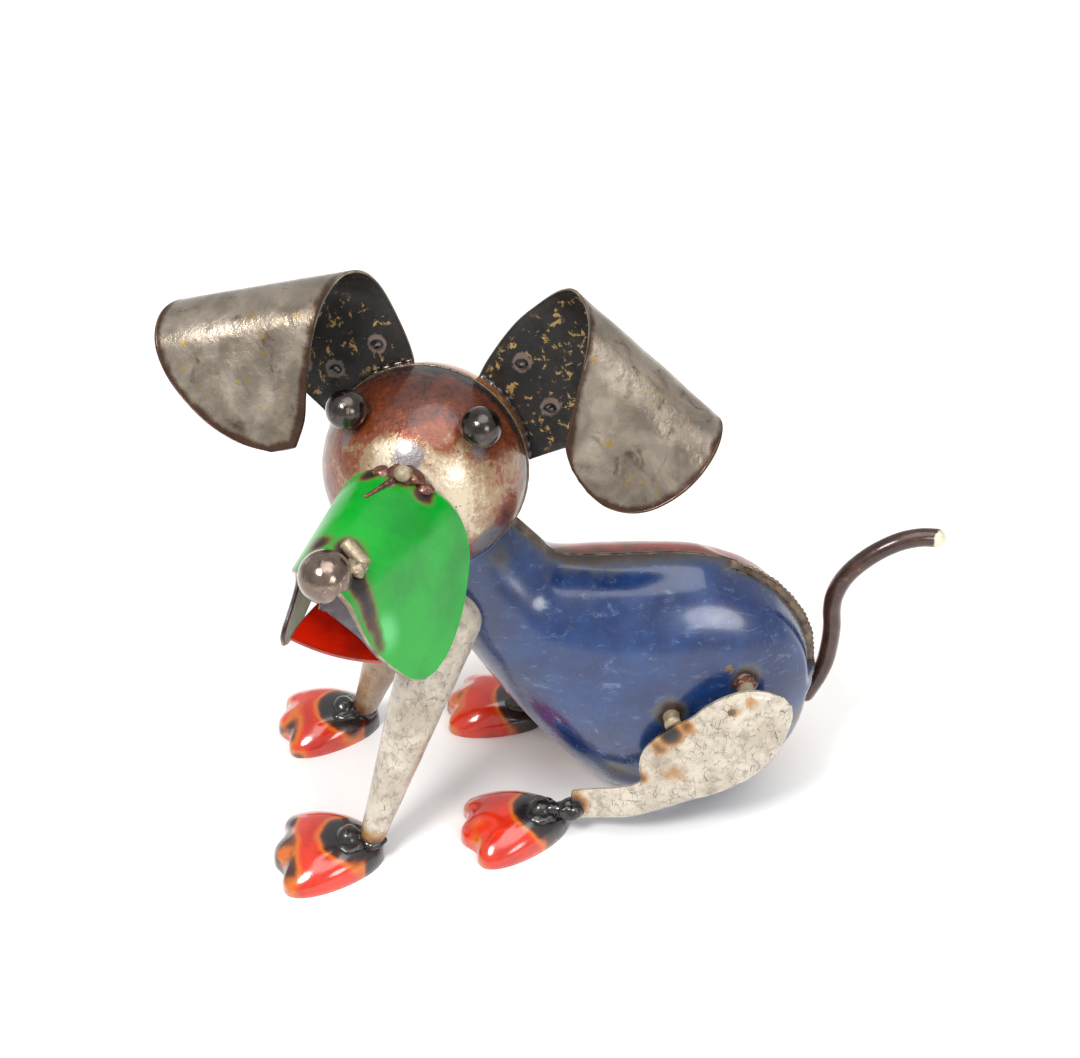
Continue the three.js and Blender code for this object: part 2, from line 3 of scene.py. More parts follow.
import bmesh
import bpy
import numpy as np
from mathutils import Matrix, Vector


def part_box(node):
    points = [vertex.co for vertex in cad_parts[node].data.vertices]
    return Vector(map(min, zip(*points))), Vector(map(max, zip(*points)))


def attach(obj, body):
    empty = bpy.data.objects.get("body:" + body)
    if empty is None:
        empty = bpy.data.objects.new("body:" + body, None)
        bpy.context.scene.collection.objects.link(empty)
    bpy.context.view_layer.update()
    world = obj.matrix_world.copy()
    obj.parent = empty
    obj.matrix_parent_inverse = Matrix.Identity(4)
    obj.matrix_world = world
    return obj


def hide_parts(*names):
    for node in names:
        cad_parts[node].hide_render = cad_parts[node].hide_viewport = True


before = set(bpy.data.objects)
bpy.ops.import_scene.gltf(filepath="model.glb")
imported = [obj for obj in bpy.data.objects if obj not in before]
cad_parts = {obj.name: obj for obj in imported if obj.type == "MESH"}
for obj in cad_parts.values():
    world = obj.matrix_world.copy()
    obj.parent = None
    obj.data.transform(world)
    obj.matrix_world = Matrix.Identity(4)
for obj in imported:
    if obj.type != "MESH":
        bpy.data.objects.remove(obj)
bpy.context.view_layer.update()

MM = 0.001
SHEET = 1.2

# ------------------------------------------------------------------ places in the dog's own frame


def turned(yaw, pitch, roll):
    """Matrix that rolls, then looks up, then turns to the left, in degrees."""
    y, p, r = np.radians([yaw, -pitch, roll])
    about_z = np.array([[np.cos(y), -np.sin(y), 0], [np.sin(y), np.cos(y), 0], [0, 0, 1]])
    about_x = np.array([[1, 0, 0], [0, np.cos(p), -np.sin(p)], [0, np.sin(p), np.cos(p)]])
    about_y = np.array([[np.cos(r), 0, np.sin(r)], [0, 1, 0], [-np.sin(r), 0, np.cos(r)]])
    return about_z @ about_x @ about_y


HEAD_RADIUS = 41
HEAD_CENTRE = np.array([0, -45.3, 175.8])
HEAD_TURN = turned(76, 15.5, 2)
EYE_RADIUS = 8
EYE_PLACE = np.array([26, -28.5, 27.9])
SNOUT_PLACE = HEAD_CENTRE + HEAD_TURN @ np.array([-1.8, -41.9, 9.5])
SNOUT_TURN = HEAD_TURN @ turned(-12, -17.6, 6)
NOSE_PLACE = np.array([1, -60.5, -2.5])
NOSE_RADIUS = 9.8

low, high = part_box("eye_left")
SHIFT = np.array((low + high) / 2) / MM - (HEAD_CENTRE + HEAD_TURN @ EYE_PLACE)


def in_head(points):
    """Points beside, behind and above the head's centre, in the dog's frame."""
    return HEAD_CENTRE + np.asarray(points, float) @ HEAD_TURN.T


def in_snout(points):
    """Points beside, behind and above the snout's root, in the dog's frame."""
    return SNOUT_PLACE + np.asarray(points, float) @ SNOUT_TURN.T


# ------------------------------------------------------------------ curves and number helpers


def spline(knots, t):
    """Catmull-Rom curve through the knots, each span a cubic of its own share of t."""
    knots = np.asarray(knots, float)
    last = len(knots) - 1
    place = np.clip(t, 0, 1) * last
    i = np.minimum(place.astype(int), last - 1)
    w = (place - i)[..., None]
    p0, p1, p2, p3 = (knots[np.clip(i + k, 0, last)] for k in (-1, 0, 1, 2))
    v0, v1 = (p2 - p0) / 2, (p3 - p1) / 2
    return (2 * p1 - 2 * p2 + v0 + v1) * w**3 + (3 * p2 - 3 * p1 - 2 * v0 - v1) * w**2 + v0 * w + p1


def even_spline(knots, share, smooth=0):
    """The same curve read at shares of its length, with its bends evened out."""
    line = spline(knots, np.linspace(0, 1, 801))
    for _ in range(smooth):
        line[1:-1] = (line[:-2] + 2 * line[1:-1] + line[2:]) / 4
    run = np.concatenate([[0], np.cumsum(np.linalg.norm(np.diff(line, axis=0), axis=1))])
    return np.stack([np.interp(share * run[-1], run, line[:, k]) for k in range(line.shape[1])], -1)


def soft_step(x, low, high):
    """0 below low, 1 above high and a smooth S between them."""
    s = np.clip((x - low) / (high - low), 0, 1)
    return s * s * (3 - 2 * s)


def spot(points, centre, radius):
    """1 at a centre, falling as a bell to nothing at about the radius."""
    away = np.linalg.norm(points - np.asarray(centre, float), axis=-1)
    return np.exp(-((away / radius) ** 2) * 2)


def ripple(points, size, seed):
    """Slow uneven swell between -1 and 1: three crossing waves of unlike lengths, in millimetres."""
    rng = np.random.default_rng(seed)
    total = 0
    for _ in range(4):
        way = rng.normal(size=3)
        way *= 2 * np.pi / (size * rng.uniform(0.7, 1.6) * np.linalg.norm(way))
        total = total + np.sin(points @ way + rng.uniform(0, 6.3))
    return total / 4


# ------------------------------------------------------------------ meshes


def normals_of(grid, around=False):
    """Unit normals of a grid of points, from the cross product of its two slopes."""
    along = np.gradient(grid, axis=0)
    if around:
        across = (np.roll(grid, -1, axis=1) - np.roll(grid, 1, axis=1)) / 2
    else:
        across = np.gradient(grid, axis=1)
    normal = np.cross(along, across)
    length = np.linalg.norm(normal, axis=-1, keepdims=True)
    weak = length[..., 0] < 1e-7
    normal = normal / np.maximum(length, 1e-12)
    if weak.any():
        whole = normal[1].sum(0) if around else normal[~weak].mean(0)
        normal[weak] = whole / np.linalg.norm(whole)
    return normal


def quads_of(index, around=False):
    """Quads between neighbouring rows and columns of an index grid."""
    if around:
        index = np.concatenate([index, index[:, :1]], axis=1)
    return np.stack([index[:-1, :-1], index[:-1, 1:], index[1:, 1:], index[1:, :-1]], -1).reshape(-1, 4)


def plate(grid, wall, around=False, side=0.0):
    """Closed skin round a sheet: the surface moved to both sides along its normals, and a rim with
    a rounded middle line. side -1 keeps the grid as the outer face and 0 as the middle.
    Returns points, quads and the finish number of each quad: 0 outside, 1 inside, 2 rim."""
    normal = normals_of(grid, around)
    top = grid + normal * wall * (0.5 + side / 2)
    under = grid - normal * wall * (0.5 - side / 2)
    rows, columns = grid.shape[:2]
    index = np.arange(rows * columns).reshape(rows, columns)
    if around:
        loop = index[-1]
        inner = index[-2]
    else:
        loop = np.concatenate([index[0, :-1], index[:-1, -1], index[-1, :0:-1], index[:0:-1, 0]])
        inner = np.concatenate([index[1, :-1], index[:-1, -2], index[-2, :0:-1], index[:0:-1, 1]])
    flat = (top + under).reshape(-1, 3) / 2
    out = flat[loop] - flat[inner]
    out /= np.maximum(np.linalg.norm(out, axis=1, keepdims=True), 1e-9)
    middle = flat[loop] + out * wall * 0.35
    count = rows * columns
    rim = 2 * count + np.arange(len(loop))
    ring = np.stack([loop, rim, loop + count])
    ring = np.concatenate([ring, ring[:, :1]], axis=1)
    skin = quads_of(index, around)
    edge = quads_of(ring)
    quads = np.concatenate([skin, skin[:, ::-1] + count, edge])
    finish = np.repeat([0, 1, 2], [len(skin), len(skin), len(edge)])
    return np.concatenate([top.reshape(-1, 3), under.reshape(-1, 3), middle]), quads, finish


def tube(path, radius, sides=24, round_ends=True):
    """Round bar along a path: rings at right angles to it, drawn in to a point at both ends as a
    quarter circle when they are rounded."""
    path = np.asarray(path, float)
    radius = np.broadcast_to(np.asarray(radius, float), (len(path),)).copy()
    along = np.gradient(path, axis=0)
    along /= np.linalg.norm(along, axis=1, keepdims=True)
    rise = np.array([1.0, 0, 0]) if abs(along[0, 0]) < 0.8 else np.array([0, 0, 1.0])
    caps = np.radians([90, 70, 50, 30, 12]) if round_ends else np.array([np.pi / 2, 0.0])
    reach = 1.0 if round_ends else 0.0
    start = [path[0] - along[0] * radius[0] * np.sin(a) * reach for a in caps]
    finish = [path[-1] + along[-1] * radius[-1] * np.sin(a) * reach for a in caps[::-1]]
    line = np.concatenate([start, path, finish])
    size = np.concatenate([radius[0] * np.cos(caps), radius, radius[-1] * np.cos(caps[::-1])])
    way = np.concatenate([[along[0]] * len(caps), along, [along[-1]] * len(caps)])
    side = np.cross(way, rise)
    side /= np.linalg.norm(side, axis=1, keepdims=True)
    up = np.cross(side, way)
    turn = np.linspace(0, 2 * np.pi, sides, endpoint=False)
    ring = np.cos(turn)[None, :, None] * side[:, None] + np.sin(turn)[None, :, None] * up[:, None]
    grid = line[:, None] + ring * size[:, None, None]
    quads = quads_of(np.arange(grid.shape[0] * sides).reshape(-1, sides), True)
    return grid.reshape(-1, 3), quads, np.zeros(len(quads), int)


def ball(centre, radii, rough=0.0, size=4.0, seed=1, turn=np.eye(3), rings=28):
    """Ball or flattened lump: radii times the sines and cosines of latitude and longitude, with an
    uneven swell of its own."""
    lat = np.linspace(-np.pi / 2, np.pi / 2, rings + 1)[:, None]
    lon = np.linspace(0, 2 * np.pi, 2 * rings, endpoint=False)[None]
    unit = np.stack([np.cos(lat) * np.cos(lon), np.cos(lat) * np.sin(lon), np.sin(lat) + 0 * lon], -1)
    form = unit * np.asarray(radii, float)
    form = form * (1 + rough * ripple(form, size, seed))[..., None]
    grid = np.asarray(centre, float) + form @ np.asarray(turn).T
    quads = quads_of(np.arange(grid.shape[0] * grid.shape[1]).reshape(grid.shape[:2]), True)
    return grid.reshape(-1, 3), quads, np.zeros(len(quads), int)


def joined(*parts):
    """Several point and quad sets as one."""
    points, quads, finish, count = [], [], [], 0
    for p, q, f in parts:
        points.append(p)
        quads.append(q + count)
        finish.append(f)
        count += len(p)
    return np.concatenate(points), np.concatenate(quads), np.concatenate(finish)


def piece(name, form, finishes, nodes=(), marks=None):
    """Object in its place from points in the dog's frame: doubles are merged and faces point out.
    marks are functions of those points, kept as one number a point for the finishes."""
    points, quads, finish = form
    a, b, c, d = (points[quads[:, k]] for k in range(4))
    volume = np.einsum("ij,ij->", a, np.cross(b, c)) + np.einsum("ij,ij->", a, np.cross(c, d))
    if volume < 0:
        quads = quads[:, ::-1]
    mesh = bpy.data.meshes.new(name)
    mesh.from_pydata(((points + SHIFT) * MM).tolist(), [], quads.tolist())
    for label, rule in (marks or {}).items():
        layer = mesh.attributes.new(label, "FLOAT", "POINT")
        layer.data.foreach_set("value", np.clip(rule(points), 0, 1).astype(np.float32))
    for material in finishes:
        mesh.materials.append(material)
    numbers = np.minimum(finish, len(finishes) - 1)
    mesh.polygons.foreach_set("material_index", numbers.astype(np.int32))
    mesh.polygons.foreach_set("use_smooth", np.ones(len(quads), bool))
    work = bmesh.new()
    work.from_mesh(mesh)
    bmesh.ops.remove_doubles(work, verts=work.verts, dist=1e-6)
    bmesh.ops.dissolve_degenerate(work, edges=work.edges, dist=1e-7)
    work.to_mesh(mesh)
    work.free()
    thing = bpy.data.objects.new(name, mesh)
    bpy.context.collection.objects.link(thing)
    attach(thing, "root")
    if nodes:
        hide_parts(*nodes)
    return thing


# ------------------------------------------------------------------ finishes


def rgb(code):
    """Linear colour of a six-digit screen colour."""
    parts = np.array([int(code[i:i + 2], 16) for i in (0, 2, 4)]) / 255
    linear = np.where(parts > 0.04045, ((parts + 0.055) / 1.055) ** 2.4, parts / 12.92)
    return (*linear.tolist(), 1.0)


class Finish:
    """One surface finish, built up from nodes on object coordinates and the pieces' own marks."""

    def __init__(self, name):
        self.material = bpy.data.materials.new(name)
        self.material.use_nodes = True
        self.tree = self.material.node_tree
        self.shader = self.tree.nodes["Principled BSDF"]
        self.place = self.node("ShaderNodeTexCoord").outputs["Object"]

    def node(self, kind, **values):
        made = self.tree.nodes.new(kind)
        for key, value in values.items():
            setattr(made, key, value)
        return made

    def feed(self, socket, value):
        if isinstance(value, bpy.types.NodeSocket):
            self.tree.links.new(value, socket)
        elif value is not None:
            socket.default_value = value

    def mapped(self, stretch, turn=(0, 0, 0), move=(0, 0, 0)):
        mapping = self.node("ShaderNodeMapping")
        self.feed(mapping.inputs["Vector"], self.place)
        mapping.inputs["Scale"].default_value = stretch
        mapping.inputs["Rotation"].default_value = turn
        mapping.inputs["Location"].default_value = move
        return mapping.outputs["Vector"]

    def noise(self, size, detail=4, rough=0.55, bend=0.0, where=None, move=0.0):
        """Cloud pattern with lumps of a size in millimetres."""
        made = self.node("ShaderNodeTexNoise")
        self.feed(made.inputs["Vector"], where or self.mapped((1, 1, 1), move=(move, move, move)))
        made.inputs["Scale"].default_value = 1000 / size
        made.inputs["Detail"].default_value = detail
        made.inputs["Roughness"].default_value = rough
        made.inputs["Distortion"].default_value = bend
        return made.outputs["Fac"]

    def cells(self, size, kind="DISTANCE_TO_EDGE", where=None):
        made = self.node("ShaderNodeTexVoronoi", feature=kind)
        self.feed(made.inputs["Vector"], where or self.place)
        made.inputs["Scale"].default_value = 1000 / size
        return made.outputs["Distance"]

    def mark(self, label):
        made = self.node("ShaderNodeAttribute", attribute_name=label)
        return made.outputs["Fac"]

    def sum(self, a, b, how="ADD"):
        made = self.node("ShaderNodeMath", operation=how)
        self.feed(made.inputs[0], a)
        self.feed(made.inputs[1], b)
        return made.outputs[0]

    def times(self, a, b):
        return self.sum(a, b, "MULTIPLY")

    def band(self, value, low, high, start=0.0, end=1.0):
        """Smooth change from start to end while value goes from low to high."""
        made = self.node("ShaderNodeMapRange", interpolation_type="SMOOTHSTEP")
        for label, number in (("Value", value), ("From Min", low), ("From Max", high),
                              ("To Min", start), ("To Max", end)):
            self.feed(made.inputs[label], number)
        return made.outputs["Result"]

    def blend(self, share, a, b):
        made = self.node("ShaderNodeMix", data_type="RGBA")
        self.feed(made.inputs["Factor"], share)
        self.feed(made.inputs[6], a)
        self.feed(made.inputs[7], b)
        return made.outputs[2]

    def done(self, colour, rough, metal=0.0, height=None, depth=0.0002, coat=0.0, strength=1.0):
        self.feed(self.shader.inputs["Base Color"], colour)
        self.feed(self.shader.inputs["Roughness"], rough)
        self.feed(self.shader.inputs["Metallic"], metal)
        self.shader.inputs["Coat Weight"].default_value = coat
        self.shader.inputs["Coat Roughness"].default_value = 0.12
        if height is not None:
            made = self.node("ShaderNodeBump")
            made.inputs["Distance"].default_value = depth
            made.inputs["Strength"].default_value = strength
            self.feed(made.inputs["Height"], height)
            self.feed(self.shader.inputs["Normal"], made.outputs["Normal"])
        return self.material


def scratches(f, size, stretch, turn, share):
    """Hair scratches: edges of cells drawn out in one direction, kept where a cloud is dense."""
    lines = f.cells(size, where=f.mapped(stretch, turn))
    thin = f.band(lines, 0.0, 0.008, 1.0, 0.0)
    return f.times(thin, f.band(f.noise(7, 3), 1 - share, 1.1 - share))


def paint(name, main, second, tint, scorch, soot, bare, rough=0.22, cloud=24, line=None, nick=0.0,
          coat=0.6, crackle=0.0, dust="7c6f5f", pale=None):
    """Paint that is tinted, scorched and sooted where burn rises, and worn to metal where bare
    rises. Clouds of a second tone, hair scratches, nicks and a crackle lie over it."""
    f = Finish(name)
    base = f.blend(f.band(f.noise(cloud, 5, 0.6), 0.38, 0.68), rgb(main), rgb(second))
    fine = f.noise(3.5, 6, 0.65)
    if line:
        marks = scratches(f, 15, (1, 0.05, 0.8), (0.25, 0.1, 0.12), 0.44)
        base = f.blend(f.times(marks, 0.5), base, rgb(line))
        rubbed = f.noise(6, 10, 0.8, 0.5, where=f.mapped((1, 0.6, 1.2), (0.3, 0, 0.2)))
        base = f.blend(f.band(rubbed, 0.54, 0.72, 0, 0.6), base, rgb(line))
    if pale:
        base = f.blend(f.band(f.mark("pale"), 0.1, 0.9, 0, 0.75), base, rgb(pale))
    if nick:
        base = f.blend(f.band(f.noise(1.6, 3), 0.68, 0.72, 0, nick), base, rgb(bare))
    cracks = None
    if crackle:
        broken = f.cells(2.3, where=f.mapped((1, 1, 0.5), (0.2, 0.3, 0)))
        cracks = f.times(f.band(broken, 0.0, 0.05, 1.0, 0.0), f.band(f.noise(4, 5), 0.47, 0.6))
        dirt = f.band(f.noise(6, 7, 0.72), 0.46, 0.66, 0, 0.65)
        base = f.blend(dirt, base, rgb(dust))
        base = f.blend(f.times(cracks, crackle), base, rgb(soot))
    heat = f.sum(f.mark("burn"), f.times(f.sum(f.noise(7, 5, 0.6), -0.5), 0.5))
    base = f.blend(f.band(heat, 0.12, 0.42), base, rgb(tint))
    base = f.blend(f.band(heat, 0.32, 0.6), base, rgb(scorch))
    base = f.blend(f.band(heat, 0.5, 0.8), base, rgb(soot))
    worn = f.sum(f.mark("bare"), f.times(f.sum(fine, -0.5), 0.9))
    raw = f.band(worn, 0.42, 0.52)
    steel = f.blend(f.band(f.noise(5, 4), 0.35, 0.7), rgb(bare), rgb(scorch))
    base = f.blend(raw, base, steel)
    gloss = f.band(f.noise(14, 4), 0.3, 0.7, rough * 0.8, rough * 1.4)
    gloss = f.sum(f.sum(gloss, f.times(raw, 0.2)), f.times(f.band(heat, 0.5, 0.9), 0.16))
    bumps = f.sum(f.times(fine, 0.25), f.times(raw, -0.5))
    bumps = f.sum(bumps, f.times(f.band(heat, 0.55, 0.9), f.noise(2.2, 4)))
    if cracks is not None:
        bumps = f.sum(bumps, f.times(cracks, -0.4))
    return f.done(base, gloss, f.times(raw, 0.55), bumps, 0.00022, coat)


def steel(name, main, second, stain, speck, rough=0.3, metal=0.8, cloud=18, coat=0.35, flake=0.0, worn="d9d2b4"):
    """Bare lacquered steel: two tones in clouds, rings of stain round cells, and specks."""
    f = Finish(name)
    base = f.blend(f.band(f.noise(cloud, 6, 0.62, 0.6), 0.36, 0.66), rgb(main), rgb(second))
    base = f.blend(f.band(f.noise(cloud * 0.45, 5, 0.6, 0.8, move=0.3), 0.54, 0.72, 0, 0.75), base, rgb(stain))
    fleck = f.noise(4.5, 5, 0.7, 0.4, move=0.7)
    base = f.blend(f.band(fleck, 0.62 - flake, 0.66 - flake, 0, 0.85), base, rgb(speck))
    heat = f.sum(f.mark("burn"), f.times(f.sum(f.noise(6, 5, 0.6), -0.5), 0.45))
    base = f.blend(f.band(heat, 0.15, 0.4), base, rgb(stain))
    base = f.blend(f.band(heat, 0.5, 0.8), base, rgb("191413"))
    base = f.blend(f.band(f.sum(f.mark("bare"), f.times(f.sum(fleck, -0.5), 0.6)), 0.4, 0.55), base, rgb(worn))
    gloss = f.band(f.noise(8, 5), 0.3, 0.7, rough * 0.7, rough * 1.5)
    return f.done(base, gloss, metal, f.sum(f.noise(2.4, 5), f.times(fleck, 0.8)), 0.00018, coat)


def head_skin():
    """Lacquered dome: pale in the middle, then amber, rust and purple brown as tone falls."""
    f = Finish("head skin")
    cloud = f.times(f.sum(f.noise(12, 7, 0.66, 0.7), -0.5), 0.9)
    grain = f.times(f.sum(f.noise(2.0, 5, 0.7), -0.5), 0.5)
    tone = f.sum(f.sum(f.mark("tone"), cloud), grain)
    base = f.blend(f.band(tone, 0.1, 0.3), rgb("24171a"), rgb("5a2c1e"))
    base = f.blend(f.band(tone, 0.3, 0.46), base, rgb("7a3a1c"))
    base = f.blend(f.band(tone, 0.46, 0.62), base, rgb("94795a"))
    base = f.blend(f.band(tone, 0.62, 0.85), base, rgb("c6b69e"))
    base = f.blend(f.band(f.sum(f.mark("grey"), f.times(cloud, 0.5)), 0.35, 0.6), base, rgb("6d6767"))
    base = f.blend(f.band(f.sum(f.mark("burn"), f.times(cloud, 0.6)), 0.45, 0.7), base, rgb("241512"))
    pits = f.noise(1.5, 3)
    base = f.blend(f.band(pits, 0.66, 0.72, 0, 0.7), base, rgb("3a1d14"))
    gloss = f.band(f.noise(7, 5), 0.3, 0.7, 0.2, 0.42)
    return f.done(base, gloss, 0.35, f.sum(f.noise(2.2, 5), f.times(pits, -1.0)), 0.0002, 0.6)


BLUE = paint("blue paint", "0a2250", "17396c", "3c4450", "3d2a20", "211814", "7d6a55", 0.24, 30,
             line="7c93b4", nick=0.3)
RED_HALF = paint("red paint", "98260f", "6b1d10", "5a2915", "38201a", "1c1513", "80644c", 0.28, 22,
                 line="c9806a", nick=0.2)
GREEN = paint("green paint", "009a26", "007f22", "4a7a2c", "4d2c1f", "171110", "b0a080", 0.24, 40,
              line="04701f", nick=0.0, coat=0.1, pale="62c878")
JAW_RED = paint("jaw paint", "cf1b06", "9c1206", "8c2413", "4c1710", "1c1110", "b08a70", 0.16, 16,
                coat=0.7)
ENAMEL = paint("paw enamel", "d42c08", "b31f08", "cf6a10", "4f1c10", "120d0c", "b99a80", 0.15, 14,
               coat=1.0)
CREAM = paint("cream paint", "c6bcac", "aca08e", "a2753c", "5f361b", "1c1411", "7f7464", 0.32, 14,
              nick=0.25, coat=0.5, crackle=0.85)
# The same cream paint, darker and browner, for the front leg on the dog's far side: painted shade on that side.
SHADED_CREAM = paint("cream paint with painted shade", "957c60", "7a5c40", "6d4324", "5a2d1a", "201713", "8f8373", 0.3, 12,
                  nick=0.3, coat=0.5, crackle=0.7)
HEAD = head_skin()
AMBER = steel("amber dome", "8f4612", "c07524", "3d1b10", "d09a50", 0.18, 0.35, 20, 0.8)
EAR_OUT = steel("ear outside", "85796c", "a89c8d", "4d3527", "a8842e", 0.27, 0.85, 20, worn="6b5c54")
EAR_IN = steel("ear inside", "14110f", "0d0b0a", "1d1714", "a88850", 0.55, 0.05, 16, 0.04, 0.045, "6b5c54")
EDGE = steel("cut edge", "a59a82", "7d725f", "6e5a45", "d9cdb0", 0.35, 0.6, 6)
BALL = steel("ball steel", "332e2d", "524843", "2c2422", "a08c78", 0.16, 0.95, 9, 0.6)
NOSE = steel("nose steel", "6b5a50", "8d7a6c", "38302c", "c4ad94", 0.14, 0.95, 9, 0.7)
WELD = steel("burnt weld", "1d1a19", "2e2a29", "120e0d", "6a5b4c", 0.3, 0.5, 5, 0.8)
BAR = steel("bar end", "a8987c", "857762", "4b3a2c", "c9b48c", 0.4, 0.5, 5, 0.3)
TAIL = steel("brown bar", "35201b", "4a2c22", "1d1312", "7a4a30", 0.3, 0.4, 9, 0.6)

# ------------------------------------------------------------------ body

BACK_EDGE = [
    [-30, 168], [-20, 158.5], [-9.4, 146.6], [-1, 136.8], [4, 130.8], [11, 128], [21, 127], [33, 126.7],
    [46, 126.7], [58, 126.2], [70, 124.4], [81, 121], [91, 116], [100, 109.2], [107.5, 100.5],
    [113.5, 91], [117.5, 80.5], [118.9, 70],
]
BELLY_EDGE = [
    [-58, 146], [-51, 125], [-40, 103], [-27, 80], [-12, 57], [4, 35], [18, 18.5], [31, 7], [46, 0.7],
    [62, -0.42], [78, 2.4], [92, 9.5], [104, 20], [112.5, 33], [117, 47], [118.9, 60],
]
BODY_WIDTHS = [
    [0, 17], [0.15, 20], [0.3, 27], [0.45, 33], [0.58, 35], [0.7, 33.5], [0.8, 27.5], [0.88, 20],
    [0.95, 12], [1, 4],
]


def body_point(t, v, side):
    """Point at share t from neck to rump and v from back to belly. The row between the two edges
    swells by its half width times the sine of 180 degrees times v, to a power that sharpens the
    seam at the neck."""
    start = even_spline(BACK_EDGE, t, 60)
    end = even_spline(BELLY_EDGE, t, 60)
    across = (1 - np.cos(v * np.pi)) / 2
    flat = start + (end - start) * across[..., None]
    fine = np.linspace(-0.2, 1.2, 701)
    width = np.interp(fine, *zip(*BODY_WIDTHS))
    kernel = np.exp(-np.linspace(-2, 2, 61) ** 2)
    width = np.interp(t, fine[30:-30], np.convolve(width, kernel / kernel.sum(), "valid"))
    ridge = 1.7 - 0.7 * soft_step(t, 0.1, 0.4)
    swell = width * np.maximum(np.sin(v * np.pi), 0) ** ridge
    return np.concatenate([(side * (0.15 + swell))[..., None], flat], -1)


def clear_start(line, rows, reach):
    """Share of each column's way at which it comes out of the head's ball for good."""
    shares = np.linspace(0, 1, rows)
    away = np.linalg.norm(line - HEAD_CENTRE, axis=-1) - reach
    inside = away < 0
    last = np.where(inside.any(0), rows - 1 - inside[::-1].argmax(0), 0)
    nxt = np.minimum(last + 1, rows - 1)
    columns = np.arange(line.shape[1])
    a, b = away[last, columns], away[nxt, columns]
    part = np.where(inside.any(0), -a / np.maximum(b - a, 1e-9), 0)
    return shares[last] + np.clip(part, 0, 1) * (shares[nxt] - shares[last])


def body_half(side):
    """Grid of one dished half from the head's ball to the rump."""
    rows, columns = 150, 110
    v = np.linspace(0, 1, columns)
    t, vv = np.meshgrid(np.linspace(0, 1, 400), v, indexing="ij")
    start = clear_start(body_point(t, vv, side), 400, HEAD_RADIUS + 0.1)
    share = np.linspace(0, 1, rows)[:, None]
    t = start[None] + (1 - start[None]) * share
    grid = body_point(t, np.broadcast_to(v, t.shape), side)
    dents = ripple(grid, 38, 3 + side) * 0.35 * np.sin(v * np.pi)[None]
    grid[..., 0] += side * dents
    grid[..., 2] = np.maximum(grid[..., 2], 0.3)
    outline = np.concatenate([even_spline(BACK_EDGE, np.linspace(0.55, 1, 200), 60),
                              even_spline(BELLY_EDGE, np.linspace(1, 0.75, 100), 60)])
    away = np.linalg.norm(grid[:, :, None, 1:] - outline[None, None], axis=-1).min(-1)
    flat = soft_step(grid[..., 1], 66, 84) * soft_step(grid[..., 2], 15, 45)
    press = 1 - flat * (1 - soft_step(away, 3.2, 7.0) ** 0.6)
    grid[..., 0] = side * 0.15 + (grid[..., 0] - side * 0.15) * press
    last = grid[-1:].copy()
    last[..., 0] = side * 0.15
    last[..., 1] += 0.4
    return np.concatenate([grid, last]), start


def seam_burn(points):
    """Heat along the seam: full on the mid-plane, gone about 9 mm up the sheet's side."""
    near = np.exp(-np.abs(points[:, 0]) / 7.0)
    top = soft_step(points[:, 2], 92, 122)
    rear = soft_step(points[:, 1], 70, 112)
    middle = np.exp(-((points[:, 1] - 22) / 30) ** 2)
    return near * np.maximum(top * (0.55 + 0.5 * middle), rear * 0.8)


def left_burn(points):
    burn = seam_burn(points)
    for centre, radius, heat in (((34, 52, 71), 10, 1.0), ((30, 84, 83), 9, 0.95), ((33, 30, 30), 12, 0.8),
                                 ((20, 108, 52), 12, 0.5), ((14, -18, 140), 10, 0.5)):
        burn = np.maximum(burn, heat * spot(points, centre, radius))
    return burn


def left_bare(points):
    bare = 0.75 * np.exp(-np.abs(points[:, 0]) / 1.6) * soft_step(points[:, 2], 60, 118)
    rim = soft_step(2.6 - np.abs(points[:, 0]), 0, 0.8) * soft_step(points[:, 1], 70, 86)
    bare = np.maximum(bare, 0.85 * rim * soft_step(points[:, 2], 20, 50))
    neck = np.exp(-np.abs(points[:, 0] - 3) / 3.0) * soft_step(-points[:, 1], -12, 4)
    bare = np.maximum(bare, 0.8 * neck)
    for centre, radius, wear in (((33.5, 40, 73.5), 4, 1.0), ((33.5, 45, 72.5), 4, 0.95), ((31, 77, 89), 3.5, 1.0),
                                 ((30, 20, 20), 6, 0.7), ((12, 45, 120), 5, 0.45)):
        bare = np.maximum(bare, wear * spot(points, centre, radius))
    return bare


for side, name, finish, burn, bare in (
        (1, "body left half", BLUE, left_burn, left_bare),
        (-1, "body right half", RED_HALF, lambda p: 0.55 * seam_burn(p), left_bare)):
    grid, neck_start = body_half(side)
    node = "body_left_shell" if side > 0 else "body_right_shell"
    piece(name.replace(" ", "_"), plate(grid, SHEET, side=-1.0 if side > 0 else 1.0), [finish],
          [node], {"burn": burn, "bare": bare})

# ------------------------------------------------------------------ head


def dome(facing):
    """Half ball from its pole to just short of the plane across the ears."""
    rows, columns = 60, 160
    slope = np.linspace(0, np.pi / 2, rows)[:, None]
    round_ = np.linspace(0, 2 * np.pi, columns, endpoint=False)[None]
    out = HEAD_RADIUS * np.sin(slope)
    ahead = 0.15 + (HEAD_RADIUS - 0.15) * np.cos(slope) + 0 * round_
    return in_head(np.stack([out * np.cos(round_), facing * ahead, out * np.sin(round_)], -1))


def head_local(points):
    return (points - HEAD_CENTRE) @ HEAD_TURN


